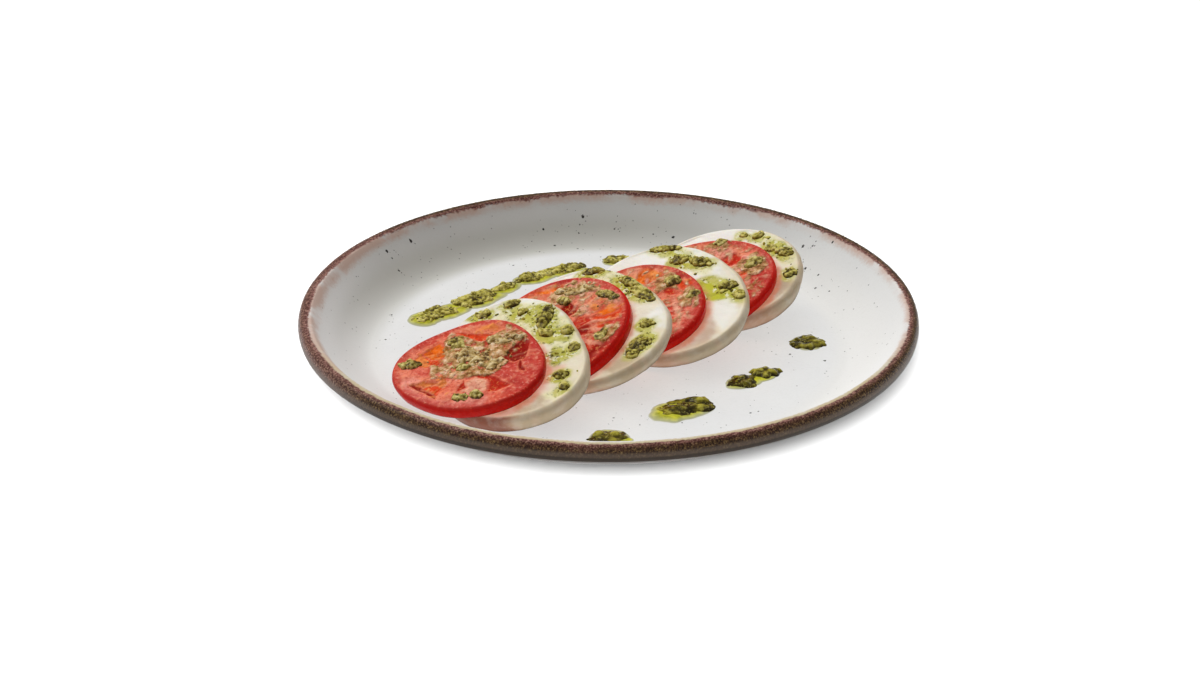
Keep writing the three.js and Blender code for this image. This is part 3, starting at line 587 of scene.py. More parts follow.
def pesto_paint(name, lighter, darker, relief, **constants):
    """Paste in light and dark grains; lighter and darker say how strongly they stand out."""
    p = Paint(name, IOR=1.45, Specular_IOR_Level=0.22, **constants)
    shade, warm = p.attribute("shade"), p.attribute("warm")
    green = p.ramp(shade, (0.0, 0.018, 0.015, 0.001), (0.25, 0.080, 0.068, 0.003), (0.5, 0.21, 0.19, 0.008),
                   (0.75, 0.42, 0.385, 0.030), (1.0, 0.68, 0.62, 0.13))
    tan = p.ramp(shade, (0.0, 0.070, 0.026, 0.005), (0.25, 0.21, 0.11, 0.020), (0.5, 0.43, 0.26, 0.075),
                 (0.75, 0.64, 0.45, 0.19), (1.0, 0.84, 0.67, 0.40))
    grain = p.noise(1.5, 3, 0.62)
    light = p.mix(warm, (0.64, 0.58, 0.10), (0.82, 0.64, 0.36))
    dark = p.mix(warm, (0.030, 0.025, 0.002), (0.11, 0.045, 0.010))
    colour = p.mix(p.between(grain, 0.52, 0.66, 0, lighter), p.mix(warm, green, tan), light)
    p.set("Base Color", p.mix(p.between(grain, 0.34, 0.47, darker, 0), colour, dark))
    p.bump(grain, relief, 0.5)
    return p


def oil_paint():
    p = Paint("oil_film", Roughness=0.08, IOR=1.47)
    oil = p.ramp(p.noise(3.0, 3), (0.35, 0.34, 0.34, 0.010), (0.65, 0.60, 0.58, 0.035))
    oil = p.mix(p.attribute("line"), oil, (0.17, 0.17, 0.008))
    glaze = (0.76, 0.76, 0.75)
    p.set("Base Color", p.mix(p.attribute("thick"), glaze, oil))
    return p


# ---- plate ----
def curve_through(points, steps):
    """Catmull-Rom points from the second to the last but one of the points given."""
    points = np.array(points, float)
    out = []
    for a, b, c, d in zip(points, points[1:], points[2:], points[3:]):
        for t in np.arange(steps) / steps:
            out.append(0.5 * (2 * b + (c - a) * t + (2 * a - 5 * b + 4 * c - d) * t ** 2
                              + (3 * b - a - 3 * c + d) * t ** 3))
    return out + [points[-2]]


def build_plate():
    top = [(r, WELL_FLOOR) for r in (10, 30, 50, 70, 85, 96, 104)]
    top += [(r, well_height(r)) for r in np.arange(WELL_RADIUS, 133, 1.0)]
    lip = curve_through([(131, well_height(131)), (INNER_LIP_RADIUS, INNER_LIP_HEIGHT), (135.2, 25.9),
                         (137, PLATE_HEIGHT), (138.6, 25.4), (139.5, 24), (PLATE_RADIUS, 21.7), (139.7, 19.8),
                         (PLATE_RADIUS - EDGE_TUCK, EDGE_HEIGHT), (131, underside_height(131))], 4)
    under = [(r, underside_height(r)) for r in np.arange(137, 101, -1.5)]
    foot = [(99, FOOT_HEIGHT), (98.3, 0.6), (97.6, 0), (96, 0), (94.4, 0), (93.7, 0.6), (93, FOOT_HEIGHT),
            (60, FOOT_HEIGHT), (20, FOOT_HEIGHT)]
    profile = [*top, *lip, *under, *foot]
    angle = circle(PLATE_SEGMENTS)
    corners = [np.column_stack([np.cos(angle) * r, np.sin(angle) * r, np.full(len(angle), z)]) for r, z in profile]
    corners += [[[0, 0, WELL_FLOOR], [0, 0, FOOT_HEIGHT]]]
    plate = mesh_object("plate_glazed", np.concatenate(corners), shell_faces(len(profile), PLATE_SEGMENTS))
    return put(plate, "plate_glaze", "plate")


# ---- slices ----
def face_radius(s, angle):
    share = 1.0
    for waves, height, at in s["outline"]:
        share = share + height * np.cos(waves * (angle - np.radians(at)))
    return s["radius"] * share


def place_slices():
    """Finds each slice's middle and its uphill, left and upward directions, from the back."""
    row = math.radians(ROW_DIRECTION)
    along, aside = np.array(turned(1, 0, row)), np.array(turned(0, 1, row))
    behind = None
    for s in reversed(SLICES):
        tilt, turn = math.radians(s["tilt"]), math.radians(s["turn"]) + row
        level = np.array([math.cos(turn), math.sin(turn), 0])
        uphill = math.cos(tilt) * level + [0, 0, math.sin(tilt)]
        up = -math.sin(tilt) * level + [0, 0, math.cos(tilt)]
        flat = along * s["along"] + aside * s["aside"]
        if behind is None:
            low = face_radius(s, math.pi) * math.sin(tilt) + s["thickness"] * math.cos(tilt)
            height = WELL_FLOOR + GAP - SETTLE + low
        else:
            there = np.append(flat, 0) - up * s["thickness"]
            height = (GAP - (there - behind["middle"]) @ behind["up"]) / behind["up"][2]
            behind["front"] = s
        s.update(tomato="tomato" in s["name"], middle=np.append(flat, height), uphill=uphill, up=up,
                 left=np.cross(up, uphill), behind=behind, front=None)
        behind = s


def to_world(s, local):
    return s["middle"] + local[:, :1] * s["uphill"] + local[:, 1:2] * s["left"] + local[:, 2:3] * s["up"]


def to_local(s, world):
    d = world - s["middle"]
    return np.column_stack([d @ s["uphill"], d @ s["left"], d @ s["up"]])


def past_edge(s, local):
    """How far points lie outside a slice's outline, in mm; negative inside it."""
    return np.hypot(local[:, 0], local[:, 1]) - face_radius(s, np.arctan2(local[:, 1], local[:, 0]))


def press_flat(s, local, ceiling):
    """Raises what would pass through the plate or the slice behind, to the ceiling at most."""
    local = local.copy()
    for _ in range(2):
        world = to_world(s, local)
        floor = well_height(np.hypot(world[:, 0], world[:, 1])) + GAP
        lift = np.maximum(0, (floor - world[:, 2]) / s["up"][2])
        b = s["behind"]
        if b is not None:
            gap = (world - b["middle"]) @ b["up"]
            lift = np.maximum(lift, (GAP - gap) / (b["up"] @ s["up"]))
        local[:, 2] += lift
    local[:, 2] = np.minimum(local[:, 2], ceiling)
    return local


def covered(s, local, reach=0.4):
    """Which points just above this face lie under or in the slice in front."""
    if s["front"] is None:
        return np.zeros(len(local), bool)
    there = to_local(s["front"], to_world(s, local))
    return (past_edge(s["front"], there) < reach) & (there[:, 2] < 0.2)


def depth_inside(x, y, corners):
    """How far points lie inside a closed outline, in mm; negative outside it."""
    corners = np.array(corners, float)
    nearest, inside = np.full(len(x), 1e9), np.zeros(len(x), bool)
    for a, b in zip(corners, np.roll(corners, -1, axis=0)):
        side = b - a
        share = np.clip(((x - a[0]) * side[0] + (y - a[1]) * side[1]) / (side @ side), 0, 1)
        nearest = np.minimum(nearest, np.hypot(x - a[0] - share * side[0], y - a[1] - share * side[1]))
        rise = side[1] if side[1] else 1e-9
        inside ^= ((a[1] > y) != (b[1] > y)) & (x < side[0] * (y - a[1]) / rise + a[0])
    return np.where(inside, nearest, -nearest)


def depth_in_shape(x, y, shape, seed, wander):
    """The same for an oval or a patch, as in the layers, with an uneven outline."""
    flat = np.column_stack([x, y])
    x = x + wander * noise(flat, 5, seed + 3, 4)
    y = y + wander * noise(flat, 5, seed + 4, 4)
    if isinstance(shape[0], tuple):
        return depth_inside(x, y, shape)
    cx, cy, length, width, turn = shape
    u, v = turned(x - cx, y - cy, -math.radians(turn))
    return (1 - np.hypot(u / (length / 2), v / (width / 2))) * min(length, width) / 2


def face_paint(s, x, y, seed):
    """Colour, wetness, depth and cover of dragged pesto over the cut face."""
    angle, r = np.arctan2(y, x), np.hypot(x, y)
    share = r / face_radius(s, angle)
    flat = np.column_stack([x, y])
    tomato, first = s["tomato"], s["name"] == "tomato_1"
    wet, depth, smear = np.full(len(x), 0.0 if tomato else 0.15), np.zeros(len(x)), np.zeros(len(x))
    colour = np.tile(COLOURS["flesh" if tomato else "cream"], (len(x), 1))

    def lay(name, there):
        nonlocal colour, wet
        colour = laid_over(colour, COLOURS[name], there)
        wet = wet * (1 - there) + WETNESS.get(name, 0.0) * there

    def uneven(size, step, octaves=3, scale=1.0):
        return scale * noise(flat, size, seed + step, octaves)

    if tomato and not first:
        # chambers of gel between fleshy spokes
        waver = uneven(9, 0)
        spokes = np.cos(angle * 5 + seed * 1.7 + waver)
        chamber = smooth(-0.1, 0.3, spokes) * smooth(0.24, 0.34, share + waver * 0.04)
        chamber *= smooth(0.82, 0.75, share + waver * 0.05)
        lay("orange_red", chamber)
        depth = chamber * 0.4
        lay("red_gel", chamber * smooth(0, 0.6, uneven(6, 9, 2)) * 0.8)
    if not tomato:
        # painted light and shade: the upper part of the face whiter, the lower part a darker cream
        drift = y + uneven(12, 23, scale=4)
        lay("white", smooth(-4, 22, drift) * 0.85)
        lay("edge", smooth(-8, -38, drift) * 0.55)
    layers = [(name, deep, shape) for name, deep, *shapes in s["layers"] for shape in shapes]
    for i, (name, deep, shape) in enumerate(layers):
        is_patch = isinstance(shape[0], tuple)
        narrow = not is_patch and min(shape[2:4]) < 4.5
        inside = depth_in_shape(x, y, shape, seed + i, 1.0 if is_patch else 0.8 if narrow else 2.2)
        basin = smooth(-0.6, 1.4, inside)
        depth = depth * (1 - basin) + deep * basin
        if name == "smear":
            # a thin drag of pesto: ridges that run one way, with tomato showing through
            along, across = (x * 0.8 + y * 0.6) / 1.8, -x * 0.6 + y * 0.8
            ridge = noise(np.column_stack([along, across]), 2.0, seed + 30, 3)
            there = smooth(-2.4, 1.0, inside)
            smear = np.maximum(smear, there * (0.85 + 0.35 * ridge))
            depth = depth - there * (0.3 + 0.45 * ridge)
            continue
        soft = (0.55 if is_patch or narrow else 1.3) if tomato else 1.5
        there = smooth(-soft, soft, inside)
        lay(name, there * (1.0 if tomato else 0.9))
        smear = smear * (1 - there * 0.5)
        if tomato and deep > 0.25:
            # the cut wall of a chamber catches the light
            lay("salmon", smooth(0.75, 0.1, abs(inside + 0.5)) * 0.55)
    if not tomato:
        for px, py, length, width, turn, _ in s["pesto"]:
            halo = depth_in_shape(x, y, [px - 1.2, py, length + 4, width + 4, turn], seed + 60, 2.0)
            lay("oil", smooth(-1.0, 1.6, halo) * 0.8)
        # a darker cream rim on the lower side only: partly the rind's own tone, partly painted shade
        lay("edge", smooth(0.84, 1.0, share + uneven(9, 22, scale=0.04)) * smooth(14, -16, y) * 0.5)
        return np.clip(colour, 0.003, 0.95), wet, depth, smear

    smear = np.maximum(smear, s.get("rubble", 0) + uneven(6, 33, scale=0.25) - 0.6 * wet)
    smear = smear * smooth(0.97, 0.90, share)
    lay("crimson", smooth(0.84, 0.96, share + uneven(7, 21, scale=0.06)) * 0.75)
    mottle = uneven(6, 20, 4)
    lay("orange_red", smooth(0.1, 0.8, mottle) * 0.35 * (1 - wet))
    lay("deep", smooth(0.15, 0.9, -mottle) * 0.30)
    # pale seeds in the gel
    rng = np.random.RandomState(seed + 50)
    for name, deep, shape in layers:
        if "orange" in name and deep > 0:
            middle = np.mean(shape if isinstance(shape[0], tuple) else [shape[:2]], axis=0)
            for _ in range(4):
                cx, cy = middle + rng.normal(0, 3.0, 2)
                lean = math.atan2(cy, cx) + rng.normal(0, 0.4)
                u, v = turned(x - cx, y - cy, -lean)
                pip = smooth(1.2, 0.7, np.hypot(u / 1.3, v / 0.7))
                lay("pale_orange", pip * 0.6)
                depth = depth - pip * 0.3
    # fibres running out from the middle, pale on their crests and dark between:
    # the pale partly a painted highlight, the dark painted shade in the furrows
    fibres = noise(np.column_stack([angle * 8 + 0.5 * mottle, r / 16]), 1.0, seed + 5, 3)
    here = smooth(0.3, 0.5, share) * smooth(0.99, 0.88, share) * (0.35 if first else 1.0)
    lay("pale", smooth(0.25, 0.75, fibres) * here * 0.6)
    lay("deep", smooth(0.25, 0.85, -fibres) * here * 0.45)
    depth = depth - 0.35 * fibres * here
    return np.clip(colour, 0.003, 0.95), wet, depth, np.clip(smear, 0, 1)


def slice_path(s, rings):
    """Rings from the middle of the face, over the edge, down the side and in below:
    (share of the radius, mm inside the outline, mm below the face)."""
    edge, bend = (TOMATO_EDGE, 15) if s["tomato"] else (CHEESE_EDGE, 10)
    t, taper = s["thickness"], s["taper"]
    path = [(share, edge, 0.0) for share in np.linspace(0, 1, rings + 1)[1:]]
    path += [(1, edge * (1 - math.sin(a)), edge * (1 - math.cos(a))) for a in np.radians(range(bend, 91, bend))]
    if s["tomato"]:
        path += [(1, taper * down - 4 * down * (1 - down) * TOMATO_BELLY, t * down)
                 for down in np.linspace(0.32, 0.94, 10)]
        path += [(1, taper + 0.1, t - 0.1), (1, taper + 0.6, t)]
    else:
        path += [(1, taper * smooth(0.33, 0.95, down), t * down) for down in np.linspace(0.4, 1, 9)[:-1]]
        path += [(1, taper + 0.4, t - 0.35), (1, taper + 1.4, t)]
    return path + [(share, taper + 1.4, t) for share in (0.8, 0.55, 0.3)]


def build_slice(s, seed):
    tomato, first = s["tomato"], s["name"] == "tomato_1"
    segments, rings = FIRST_TOMATO_MESH if first else TOMATO_MESH if tomato else CHEESE_MESH
    angle = circle(segments)
    rim = face_radius(s, angle)
    path = slice_path(s, rings)
    local = []
    for share, inset, deep in path:
        r = share * (rim - inset)
        local.append(np.column_stack([r * np.cos(angle), r * np.sin(angle), np.full(segments, -deep)]))
    local = np.concatenate([*local, [[0, 0, 0]], [[0, 0, -s["thickness"]]]])
    on_face = np.zeros(len(local), bool)
    on_face[: rings * segments] = on_face[-2] = True

    x, y = local[:, 0], local[:, 1]
    flat = np.column_stack([x, y])
    colour, wet, depth, smear = face_paint(s, x, y, seed)
    share = np.hypot(x, y) / face_radius(s, np.arctan2(y, x))
    side = smooth(0.0, 1.0 if tomato else 0.5, -local[:, 2])
    down = np.clip(-local[:, 2] / s["thickness"], 0, 1)
    skin = np.zeros(len(local))
    if tomato:
        relief = -0.8 * depth + 0.2 * noise(flat, 3.5, seed + 1, 4) - 0.1
        cover = np.maximum(side, smooth(0.955, 0.99, share) * 0.8)
        colour = laid_over(colour, np.array(COLOURS["skin"]) * (1 if first else 1.3), cover)
        wet = np.maximum(wet, cover * 0.9)
        skin = np.maximum(side, smooth(0.97, 0.995, share))
    else:
        relief = 0.35 * noise(flat, 11, seed + 1, 3) + 0.12 * noise(flat, 2.5, seed + 2, 3) - 0.2
        runs = smooth(0.1, 0.7, noise(np.column_stack([np.arctan2(y, x) * 12, x * 0]), 1.0, seed, 2))
        # juice of the tomato in front: a pink stain and a redder line beside it, and painted shade on the side
        away = past_edge(s["front"], to_local(s["front"], to_world(s, local)))
        stain = smooth(4.0, 0.5, away + 1.6 * noise(flat, 5, seed + 8, 3)) * smooth(12, -8, y) * 0.4
        rich = smooth(2.9, 0.2, away + noise(flat, 3, seed + 9, 3)) * smooth(4, -12, y) * 0.7
        # on the side, next to the tomato, the redder line is partly juice and partly painted shade
        rich = np.maximum(rich * (1 - side), side * smooth(7, 2, away) * smooth(12, -4, y) * 0.35)
        # painted shade: the sides of the cheese beige, more of it towards the bottom
        for name, there in (("pink", stain), ("beige", side * (0.58 + 0.42 * down)), ("pink", side * 0.18 * runs),
                            ("juice", rich)):
            colour = laid_over(colour, COLOURS[name], there)
        # painted shadow on the first cheese's side next to tomato 1, with a painted red reflection of the tomato
        if s["name"] == "mozzarella_1":
            side_shadow = side * smooth(5.5, 1.0, away + noise(flat, 4, seed + 6, 3)) * 0.85
            colour = laid_over(colour, COLOURS["reddish_shadow"], side_shadow)
    relief = np.minimum(relief, np.where(covered(s, local, 3), 0.15, 0.7)) * smooth(1.0, 0.93, share)
    local[on_face, 2] = relief[on_face]
    # a soft unevenness of the side
    wobble = noise(to_world(s, local), 9, seed + 4, 3) * (0.12 if tomato else 0.3) * side
    outward = local[:, :2] / np.maximum(1, np.hypot(x, y))[:, None]
    local[:, :2] += outward * np.minimum(wobble, 0.2)[:, None] * (share > 0.6)[:, None]
    local = press_flat(s, local, np.where(on_face, local[:, 2], 0))
    # painted shade: it darkens towards its underside
    colour = laid_over(colour, colour * 0.25, smooth(0.80, 0.97, -local[:, 2] / s["thickness"]))
    obj = mesh_object(s["name"] + "_cut", to_world(s, local), shell_faces(len(path), segments),
                      wet=wet, smear=smear * (1 - side), skin=skin, tint=colour)
    return put(obj, "tomato" if tomato else "mozzarella", s["name"])


# ---- pesto ----
def unit_grain(levels):
    bm = bmesh.new()
    bmesh.ops.create_icosphere(bm, subdivisions=levels, radius=1)
    corners = np.array([v.co[:] for v in bm.verts])
    faces = np.array([[v.index for v in f.verts] for f in bm.faces])
    bm.free()
    return corners, faces


GRAIN_CORNERS, GRAIN_FACES = unit_grain(2)


def blurred(grid, reach):
    """A grid averaged over squares of 2 * reach + 1 cells."""
    width = 2 * reach + 1
    padded = np.pad(grid, reach, mode="edge")
    rows = sum(padded[i:i + grid.shape[0]] for i in range(width)) / width
    return sum(rows[:, i:i + grid.shape[1]] for i in range(width)) / width


class Spread:
    """Pesto gathered into one mesh: patches of rough paste and loose grains.
    Each corner has its shade, 0 dark to 1 light, and warm, how far tomato juice has browned it.
    Besides the paste's own tone, the shade holds painted light on ridges and lumps, painted shade in hollows.
    bury is how deep the edges go, tone is added to the shade, coarse is how large the lumps are
    and knobs how much they stand out."""

    def __init__(self, seed, warm=0.0, bury=0.9, tone=0.0, coarse=1.0):
        self.rng = np.random.RandomState(seed)
        self.seed, self.warm, self.bury, self.tone, self.coarse, self.knobs = seed, warm, bury, tone, coarse, 1.0
        self.corners, self.faces, self.shades, self.warms, self.count = [], [], [], [], 0

    def add(self, corners, faces, shade):
        self.corners.append(corners)
        self.faces.append(faces + self.count)
        self.shades.append(np.clip(np.clip(shade, 0, 1) + self.tone, 0, 1))
        self.warms.append(np.full(len(corners), self.warm))
        self.count += len(corners)

    def grains(self, centres, radii, shades):
        for centre, radius, shade in zip(centres, radii, shades):
            turn, _ = np.linalg.qr(self.rng.randn(3, 3))
            turn *= np.sign(np.linalg.det(turn))
            shape = GRAIN_CORNERS * (1 + 0.28 * noise(GRAIN_CORNERS * 3 + centre, 2.2, self.seed, 2))[:, None]
            shape = shape * (self.rng.uniform(0.75, 1.35), self.rng.uniform(0.7, 1.1), 0.75)
            self.add(centre + shape @ turn.T * radius, GRAIN_FACES, shade + 0.1 * shape[:, 2])

    def patch(self, shape, lift, keep, covered_share=1.0, bed=True):
        """Paste over an oval (x, y, length, width, turn, height). lift(xyz) carries it to where
        it lies and keep(xyz) says which points are free. Without a bed it is islands only."""
        x, y, length, width, turn, height = shape
        u, v = (np.arange(-size * 0.62, size * 0.62 + PASTE_CELL, PASTE_CELL) for size in (length, width))
        grid_u, grid_v = np.meshgrid(u, v)
        offset_x, offset_y = turned(grid_u, grid_v, math.radians(turn))
        flat = np.column_stack([(x + offset_x).ravel(), (y + offset_y).ravel()])

        def wavy(size, step, octaves=3):
            return noise(flat, size, self.seed + step, octaves).reshape(grid_u.shape)

        rough = wavy(4.5, 2)
        plain = np.hypot(grid_u / (length / 2), grid_v / (width / 2))
        reach = np.where(plain > 1.14, 2.0, plain * (1 + 0.34 * rough + 0.16 * wavy(1.8, 9, 2)))
        folds = wavy(2.4, 5, 4)
        bed_height = height * np.sqrt(np.clip(1 - reach ** 2, 0, 1)) * (0.62 + 0.38 * wavy(5, 6, 2))
        bed_height = bed_height + (0.85 - 0.4 * self.knobs) * folds * smooth(1.0, 0.75, reach)
        z = bed_height - (self.bury + 0.2) * smooth(0.93, 1.0, reach) if bed else np.full(grid_u.shape, -self.bury)
        # the shade follows the folds: painted light where they rise, painted shade where they sink
        tones = 0.46 + 0.24 * wavy(5, 7) + 0.20 * wavy(11, 11, 2)
        shade = tones + 0.45 * folds
        # lumps that overlap
        area = length * width * 0.785 * covered_share
        for _ in range(int(area * self.knobs / (2.6 if bed else 2.2) / self.coarse ** 2)):
            away, around = (0.86 if bed else 1.0) * math.sqrt(self.rng.rand()), self.rng.rand() * 2 * math.pi
            bu, bv = away * math.cos(around) * length / 2, away * math.sin(around) * width / 2
            radius = self.coarse * float(np.clip(self.rng.lognormal(-0.25 if bed else -0.5, 0.45), 0.35, 1.7))
            stretch, lean = self.rng.uniform(0.45, 1.0), self.rng.rand() * math.pi
            i0, i1 = np.searchsorted(u, [bu - radius, bu + radius])
            j0, j1 = np.searchsorted(v, [bv - radius, bv + radius])
            if i1 <= i0 or j1 <= j0:
                continue
            window = (slice(j0, j1), slice(i0, i1))
            a, b = turned(grid_u[window] - bu, grid_v[window] - bv, -lean)
            near = 1 - (a * a + (b / stretch) ** 2) / radius ** 2
            middle = min(j1 - 1, (j0 + j1) // 2), min(i1 - 1, (i0 + i1) // 2)
            if not bed and (reach[middle] > 1 or rough[middle] < -0.2):
                continue
            base = max(0.0, bed_height[middle]) * 0.9 if bed else -0.1
            blob = base + (0.25 + 0.25 * self.knobs) * radius * stretch * np.clip(near, 0, 1) ** 0.6
            higher = (near > 0) & (blob > z[window])
            z[window] = np.where(higher, blob, z[window])
            # painted light: each lump lighter towards its top
            tone = tones[middle] + self.rng.normal(0.04, 0.24) + 0.3 * (near - 0.5)
            shade[window] = np.where(higher, tone, shade[window])
        z = blurred(z, 3 if self.coarse > 1.5 else 1)
        # painted shade in the hollows, and painted light on what stands above them
        hollow = z - blurred(np.maximum(z, 0), 5)
        shade = blurred(shade, 2 if self.coarse > 1.5 else 1) + np.clip(0.8 * hollow, -0.40, 0.34)
        local = np.column_stack([flat, z.ravel()])
        free = keep(local) & (local[:, 2] > -0.6 * self.bury)
        local[~free, 2] = -self.bury
        local[:, 2] = np.minimum(local[:, 2], height * 1.02 + 0.3)
        row, column = np.meshgrid(np.arange(len(v) - 1), np.arange(len(u) - 1), indexing="ij")
        first = (row * len(u) + column).ravel()
        quads = np.column_stack([first, first + 1, first + 1 + len(u), first + len(u)])
        quads = quads[free[quads].any(axis=1)]
        if len(quads):
            used, quads = np.unique(quads, return_inverse=True)
            self.add(lift(local[used]), quads.reshape(-1, 4), shade.ravel()[used])

    def scatter(self, shape, lift, keep, number):
        """Loose grains over and round an oval."""
        x, y, length, width, turn, height = shape
        away, around = np.sqrt(self.rng.rand(number)) * 1.12, self.rng.rand(number) * 2 * np.pi
        u, v = turned(away * np.cos(around) * length / 2, away * np.sin(around) * width / 2, math.radians(turn))
        radii = np.clip(self.rng.lognormal(-0.75, 0.35, number), 0.3, 0.8)
        dome = np.sqrt(np.clip(1 - away ** 2, 0, 1)) * height * 0.75
        local = np.column_stack([x + u, y + v, dome + radii * 0.35])
        free = keep(local)
        self.grains(lift(local[free]), radii[free], np.clip(self.rng.normal(0.68, 0.15, free.sum()), 0, 1))

    def build(self, name, node):
        obj = mesh_object(name, np.concatenate(self.corners), self.faces,
                          shade=np.concatenate(self.shades), warm=np.concatenate(self.warms))
        return put(obj, "pesto", node)


def pesto_on(s, seed):
    """The crumbs and lumps of pesto on a slice; what lies on tomato is browned."""
    tomato = s["tomato"]
    spread = Spread(seed)
    inset = 0.9 if tomato else 1.6
    lift, keep = (lambda p: to_world(s, p)), (lambda p: ~covered(s, p, 0.6) & (past_edge(s, p) < -inset))
    spread.warm, spread.tone = (0.9, 0.10) if tomato else (0.08, 0.14)
    for *oval, share in s["crumbs"]:
        spread.patch((*oval, 1.0), lift, keep, share * (0.22 if tomato else 0.7), bed=False)
        spread.scatter((*oval, 0), lift, keep, int(oval[2] * oval[3] * share * (0.015 if tomato else 0.03)))
    spread.tone = 0.04
    for shape in s["pesto"]:
        wide = shape[2] * shape[3] > 120
        spread.warm = (0.9 if wide else 0.40) if tomato else 0.20
        spread.knobs = 0.12 if tomato and wide else 1.0
        spread.patch(shape, lift, keep)
        spread.scatter(shape, lift, keep, int(shape[2] * shape[3] * 0.03))
    return spread.build("pesto_on_" + s["name"], s["name"])


def clear_of_slices(points):
    """Which points on the plate touch no slice."""
    free = np.ones(len(points), bool)
    for s in SLICES:
        local = to_local(s, points)
        free &= (past_edge(s, local) >= 0.5) | (local[:, 2] >= 0.5)
    return free


def on_plate(points):
    base = well_height(np.hypot(points[:, 0], points[:, 1]))
    return np.column_stack([points[:, :2], base + points[:, 2]])


def pesto_on_plate(name, lumps, seed):
    """Drops are darker, coarser and wetter than the trail and have no loose grains."""
    drop = "drop" in name
    spread = (Spread(seed, warm=0.10, bury=0.3, tone=-0.29, coarse=1.6) if drop
              else Spread(seed, warm=0.16, bury=0.3, tone=0.08, coarse=1.2))
    keep = lambda p: clear_of_slices(on_plate(p))
    for shape in lumps:
        spread.patch(shape, on_plate, keep)
        if not drop:
            spread.scatter(shape, on_plate, keep, int(shape[2] * shape[3] * 0.02))
    return spread.build(name + "_paste", name)


def build_specks():
    """Dark specks in the glaze: the listed ones, each with smaller ones near it, and a fine scatter."""
    rng = np.random.RandomState(SPECK_SEED)
    spots, corners, faces = [], [], []
    for x, y, size in SPECKS:
        spots.append((x, y, size * 0.8))
        spots += [(x + dx, y + dy, rng.uniform(0.15, 0.34)) for dx, dy in rng.normal(0, 3.0, (rng.randint(0, 4), 2))]
    away, around = np.sqrt(rng.rand(FINE_SPECKS)) * 130, rng.rand(FINE_SPECKS) * 2 * np.pi
    spots += zip(away * np.cos(around), away * np.sin(around), rng.uniform(0.10, 0.30, FINE_SPECKS))
    angle = circle(SPECK_SIDES)
    for x, y, size in spots:
        reach = size * (1 + 0.3 * rng.uniform(-1, 1, SPECK_SIDES))
        inner, edge = (np.column_stack([x + reach * share * np.cos(angle), y + reach * share * np.sin(angle),
                                        np.full(SPECK_SIDES, z)]) for share, z in ((0.8, 0.03), (1, -0.02)))
        spot = on_plate(np.concatenate([inner, edge, [[x, y, 0.05]]]))
        if clear_of_slices(spot).all():
            faces.append(dome_faces(2, SPECK_SIDES) + len(corners) * len(spot))
            corners.append(spot)
    specks = mesh_object("glaze_specks", np.concatenate(corners), [np.concatenate(faces)])
    return put(specks, "plate_glaze")


def build_oil():
    """Films of oil, thin at their edge and a little domed."""
    corners, faces, thick, line = [], [], [], []
    around, rings = OIL_MESH
    angle = circle(around)
    share = np.linspace(0, 1, rings + 1)[1:]
    s = np.append(np.repeat(share, around), 0)
    for i, (x, y, length, width, turn, height) in enumerate(PLATE_OIL):
        bend = np.column_stack([np.cos(angle) * length / 2 + x, np.sin(angle) * width / 2 + y])
        ragged = 1 + 0.15 * noise(bend, 8, OIL_SEED + i, 3)
        u = np.append((share[:, None] * np.cos(angle) * ragged).ravel(), 0) * length / 2
        v = np.append((share[:, None] * np.sin(angle) * ragged).ravel(), 0) * width / 2
        z = height * (1 - s ** 3) + 0.03 + 0.002 * i
        z[(rings - 1) * around:-1] = -0.02
        u, v = turned(u, v, math.radians(turn))
        corners.append(on_plate(np.column_stack([x + u, y + v, z])))
        faces.append(dome_faces(rings, around) + i * len(s))
        thick.append(smooth(1.0, 0.94, s) * (0.65 + 0.35 * smooth(1.0, 0.6, s)))
        line.append(smooth(0.82, 0.93, s) * smooth(1.0, 0.97, s) * 0.6)
    obj = mesh_object("oil_on_plate", np.concatenate(corners), [np.concatenate(faces)],
                      thick=np.concatenate(thick), line=np.concatenate(line))
    return put(obj, "pesto")


# ---- everything ----
place_slices()
glaze_paint().on(build_plate())
tomato, cheese, oil = tomato_paint(), cheese_paint(), oil_paint()
pesto = pesto_paint("pesto", 0.75, 0.85, 0.6, Roughness=0.26, Coat_Weight=0.14, Coat_Roughness=0.10)
wet_pesto = pesto_paint("pesto_in_oil", 0.35, 0.5, 0.25, Roughness=0.18, Coat_Weight=0.2, Coat_Roughness=0.08)
for number, s in enumerate(SLICES):
    (tomato if s["tomato"] else cheese).on(build_slice(s, SLICE_SEED + number))
    pesto.on(pesto_on(s, PESTO_SEED + number))
for number, (name, lumps) in enumerate(PLATE_PESTO.items()):
    (wet_pesto if "drop" in name else pesto).on(pesto_on_plate(name, lumps, PLATE_PESTO_SEED + number))
speck_paint().on(build_specks())
oil.on(build_oil())


# ---- floor, light and camera ----
FLOOR_REACH, FLOOR_DROP = 4000, 0.2
floor = mesh_object("floor", [(x * FLOOR_REACH, y * FLOOR_REACH, -FLOOR_DROP)
                              for x, y in ((-1, -1), (1, -1), (1, 1), (-1, 1))], [[(0, 1, 2, 3)]])
pale = Paint("pale_floor", Roughness=0.9)
pale.set("Base Color", pale.mix(pale.noise(400, 2), (0.25, 0.25, 0.25), (0.24, 0.24, 0.24)))
pale.on(floor)

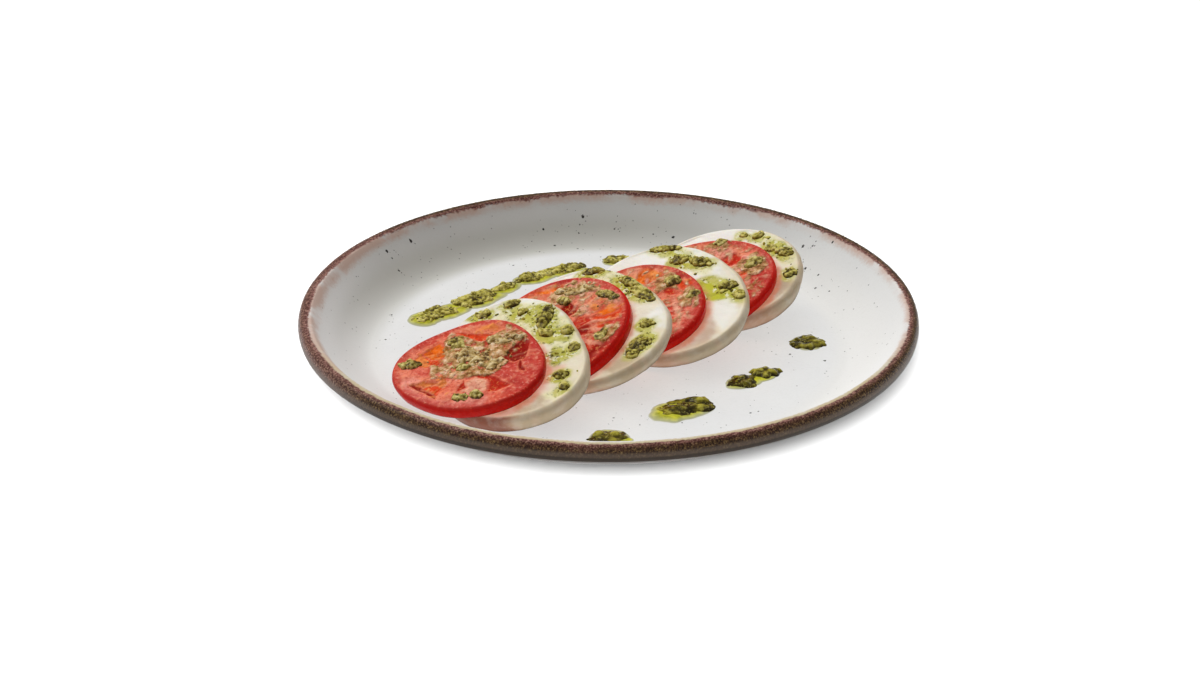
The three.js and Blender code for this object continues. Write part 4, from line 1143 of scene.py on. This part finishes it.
world = bpy.data.worlds.new("studio")
world.use_nodes = True
world.node_tree.nodes["Background"].inputs["Color"].default_value = (1, 1, 1, 1)
world.node_tree.nodes["Background"].inputs["Strength"].default_value = 0.22
bpy.context.scene.world = world


def studio_light(kind, azimuth, elevation, distance=1.0, shows=True, shadows=True, **settings):
    """A light that points at the plate; one that doesn't show leaves no highlight."""
    light = bpy.data.lights.new("studio_" + kind.lower(), kind)
    light.use_shadow = shadows
    for key, value in settings.items():
        setattr(light, key, value)
    obj = bpy.data.objects.new(light.name, light)
    a, e = math.radians(azimuth), math.radians(elevation)
    obj.location = Vector((math.cos(a) * math.cos(e), math.sin(a) * math.cos(e), math.sin(e))) * distance
    obj.rotation_euler = (-obj.location).to_track_quat("-Z", "Y").to_euler()
    obj.visible_camera = False
    obj.visible_glossy = shows
    bpy.context.scene.collection.objects.link(obj)
    return obj


# a wide wash of light with no edge to its shadows, a softbox for the highlights, and a light
# from the front that brightens the floor alone
SOFTBOX_DISTANCE = 3.2
studio_light("SUN", 108, 48, shows=False, shadows=False, energy=2.6, angle=1.2)
studio_light("AREA", 165, 48, SOFTBOX_DISTANCE, shadows=False, size=2.0,
             energy=0.23 * (math.pi * SOFTBOX_DISTANCE) ** 2)
floor_light = studio_light("SUN", -95, 34.5, shows=False, energy=24, angle=0.35)
floor_light.light_linking.receiver_collection = bpy.data.collections.new("lit_from_the_front")
floor_light.light_linking.receiver_collection.objects.link(floor)

# the camera that was fitted to the plate's ellipses in the photograph
PHOTO_WIDTH, FOCAL_PIXELS, SENSOR = 1200, 2187, 36
TARGET = Vector((-3.804, 0, 7.762)) * MM
DISTANCE = 1.0
ELEVATION = math.radians(25.413)
camera_data = bpy.data.cameras.new("camera")
camera_data.sensor_width = SENSOR
camera_data.lens = SENSOR * FOCAL_PIXELS / PHOTO_WIDTH
camera = bpy.data.objects.new("camera", camera_data)
camera.location = TARGET + Vector((0, -math.cos(ELEVATION), math.sin(ELEVATION))) * DISTANCE
camera.rotation_euler = (math.pi / 2 - ELEVATION, 0, 0)
bpy.context.scene.collection.objects.link(camera)
bpy.context.scene.camera = camera
bpy.context.scene.view_settings.view_transform = "Standard"
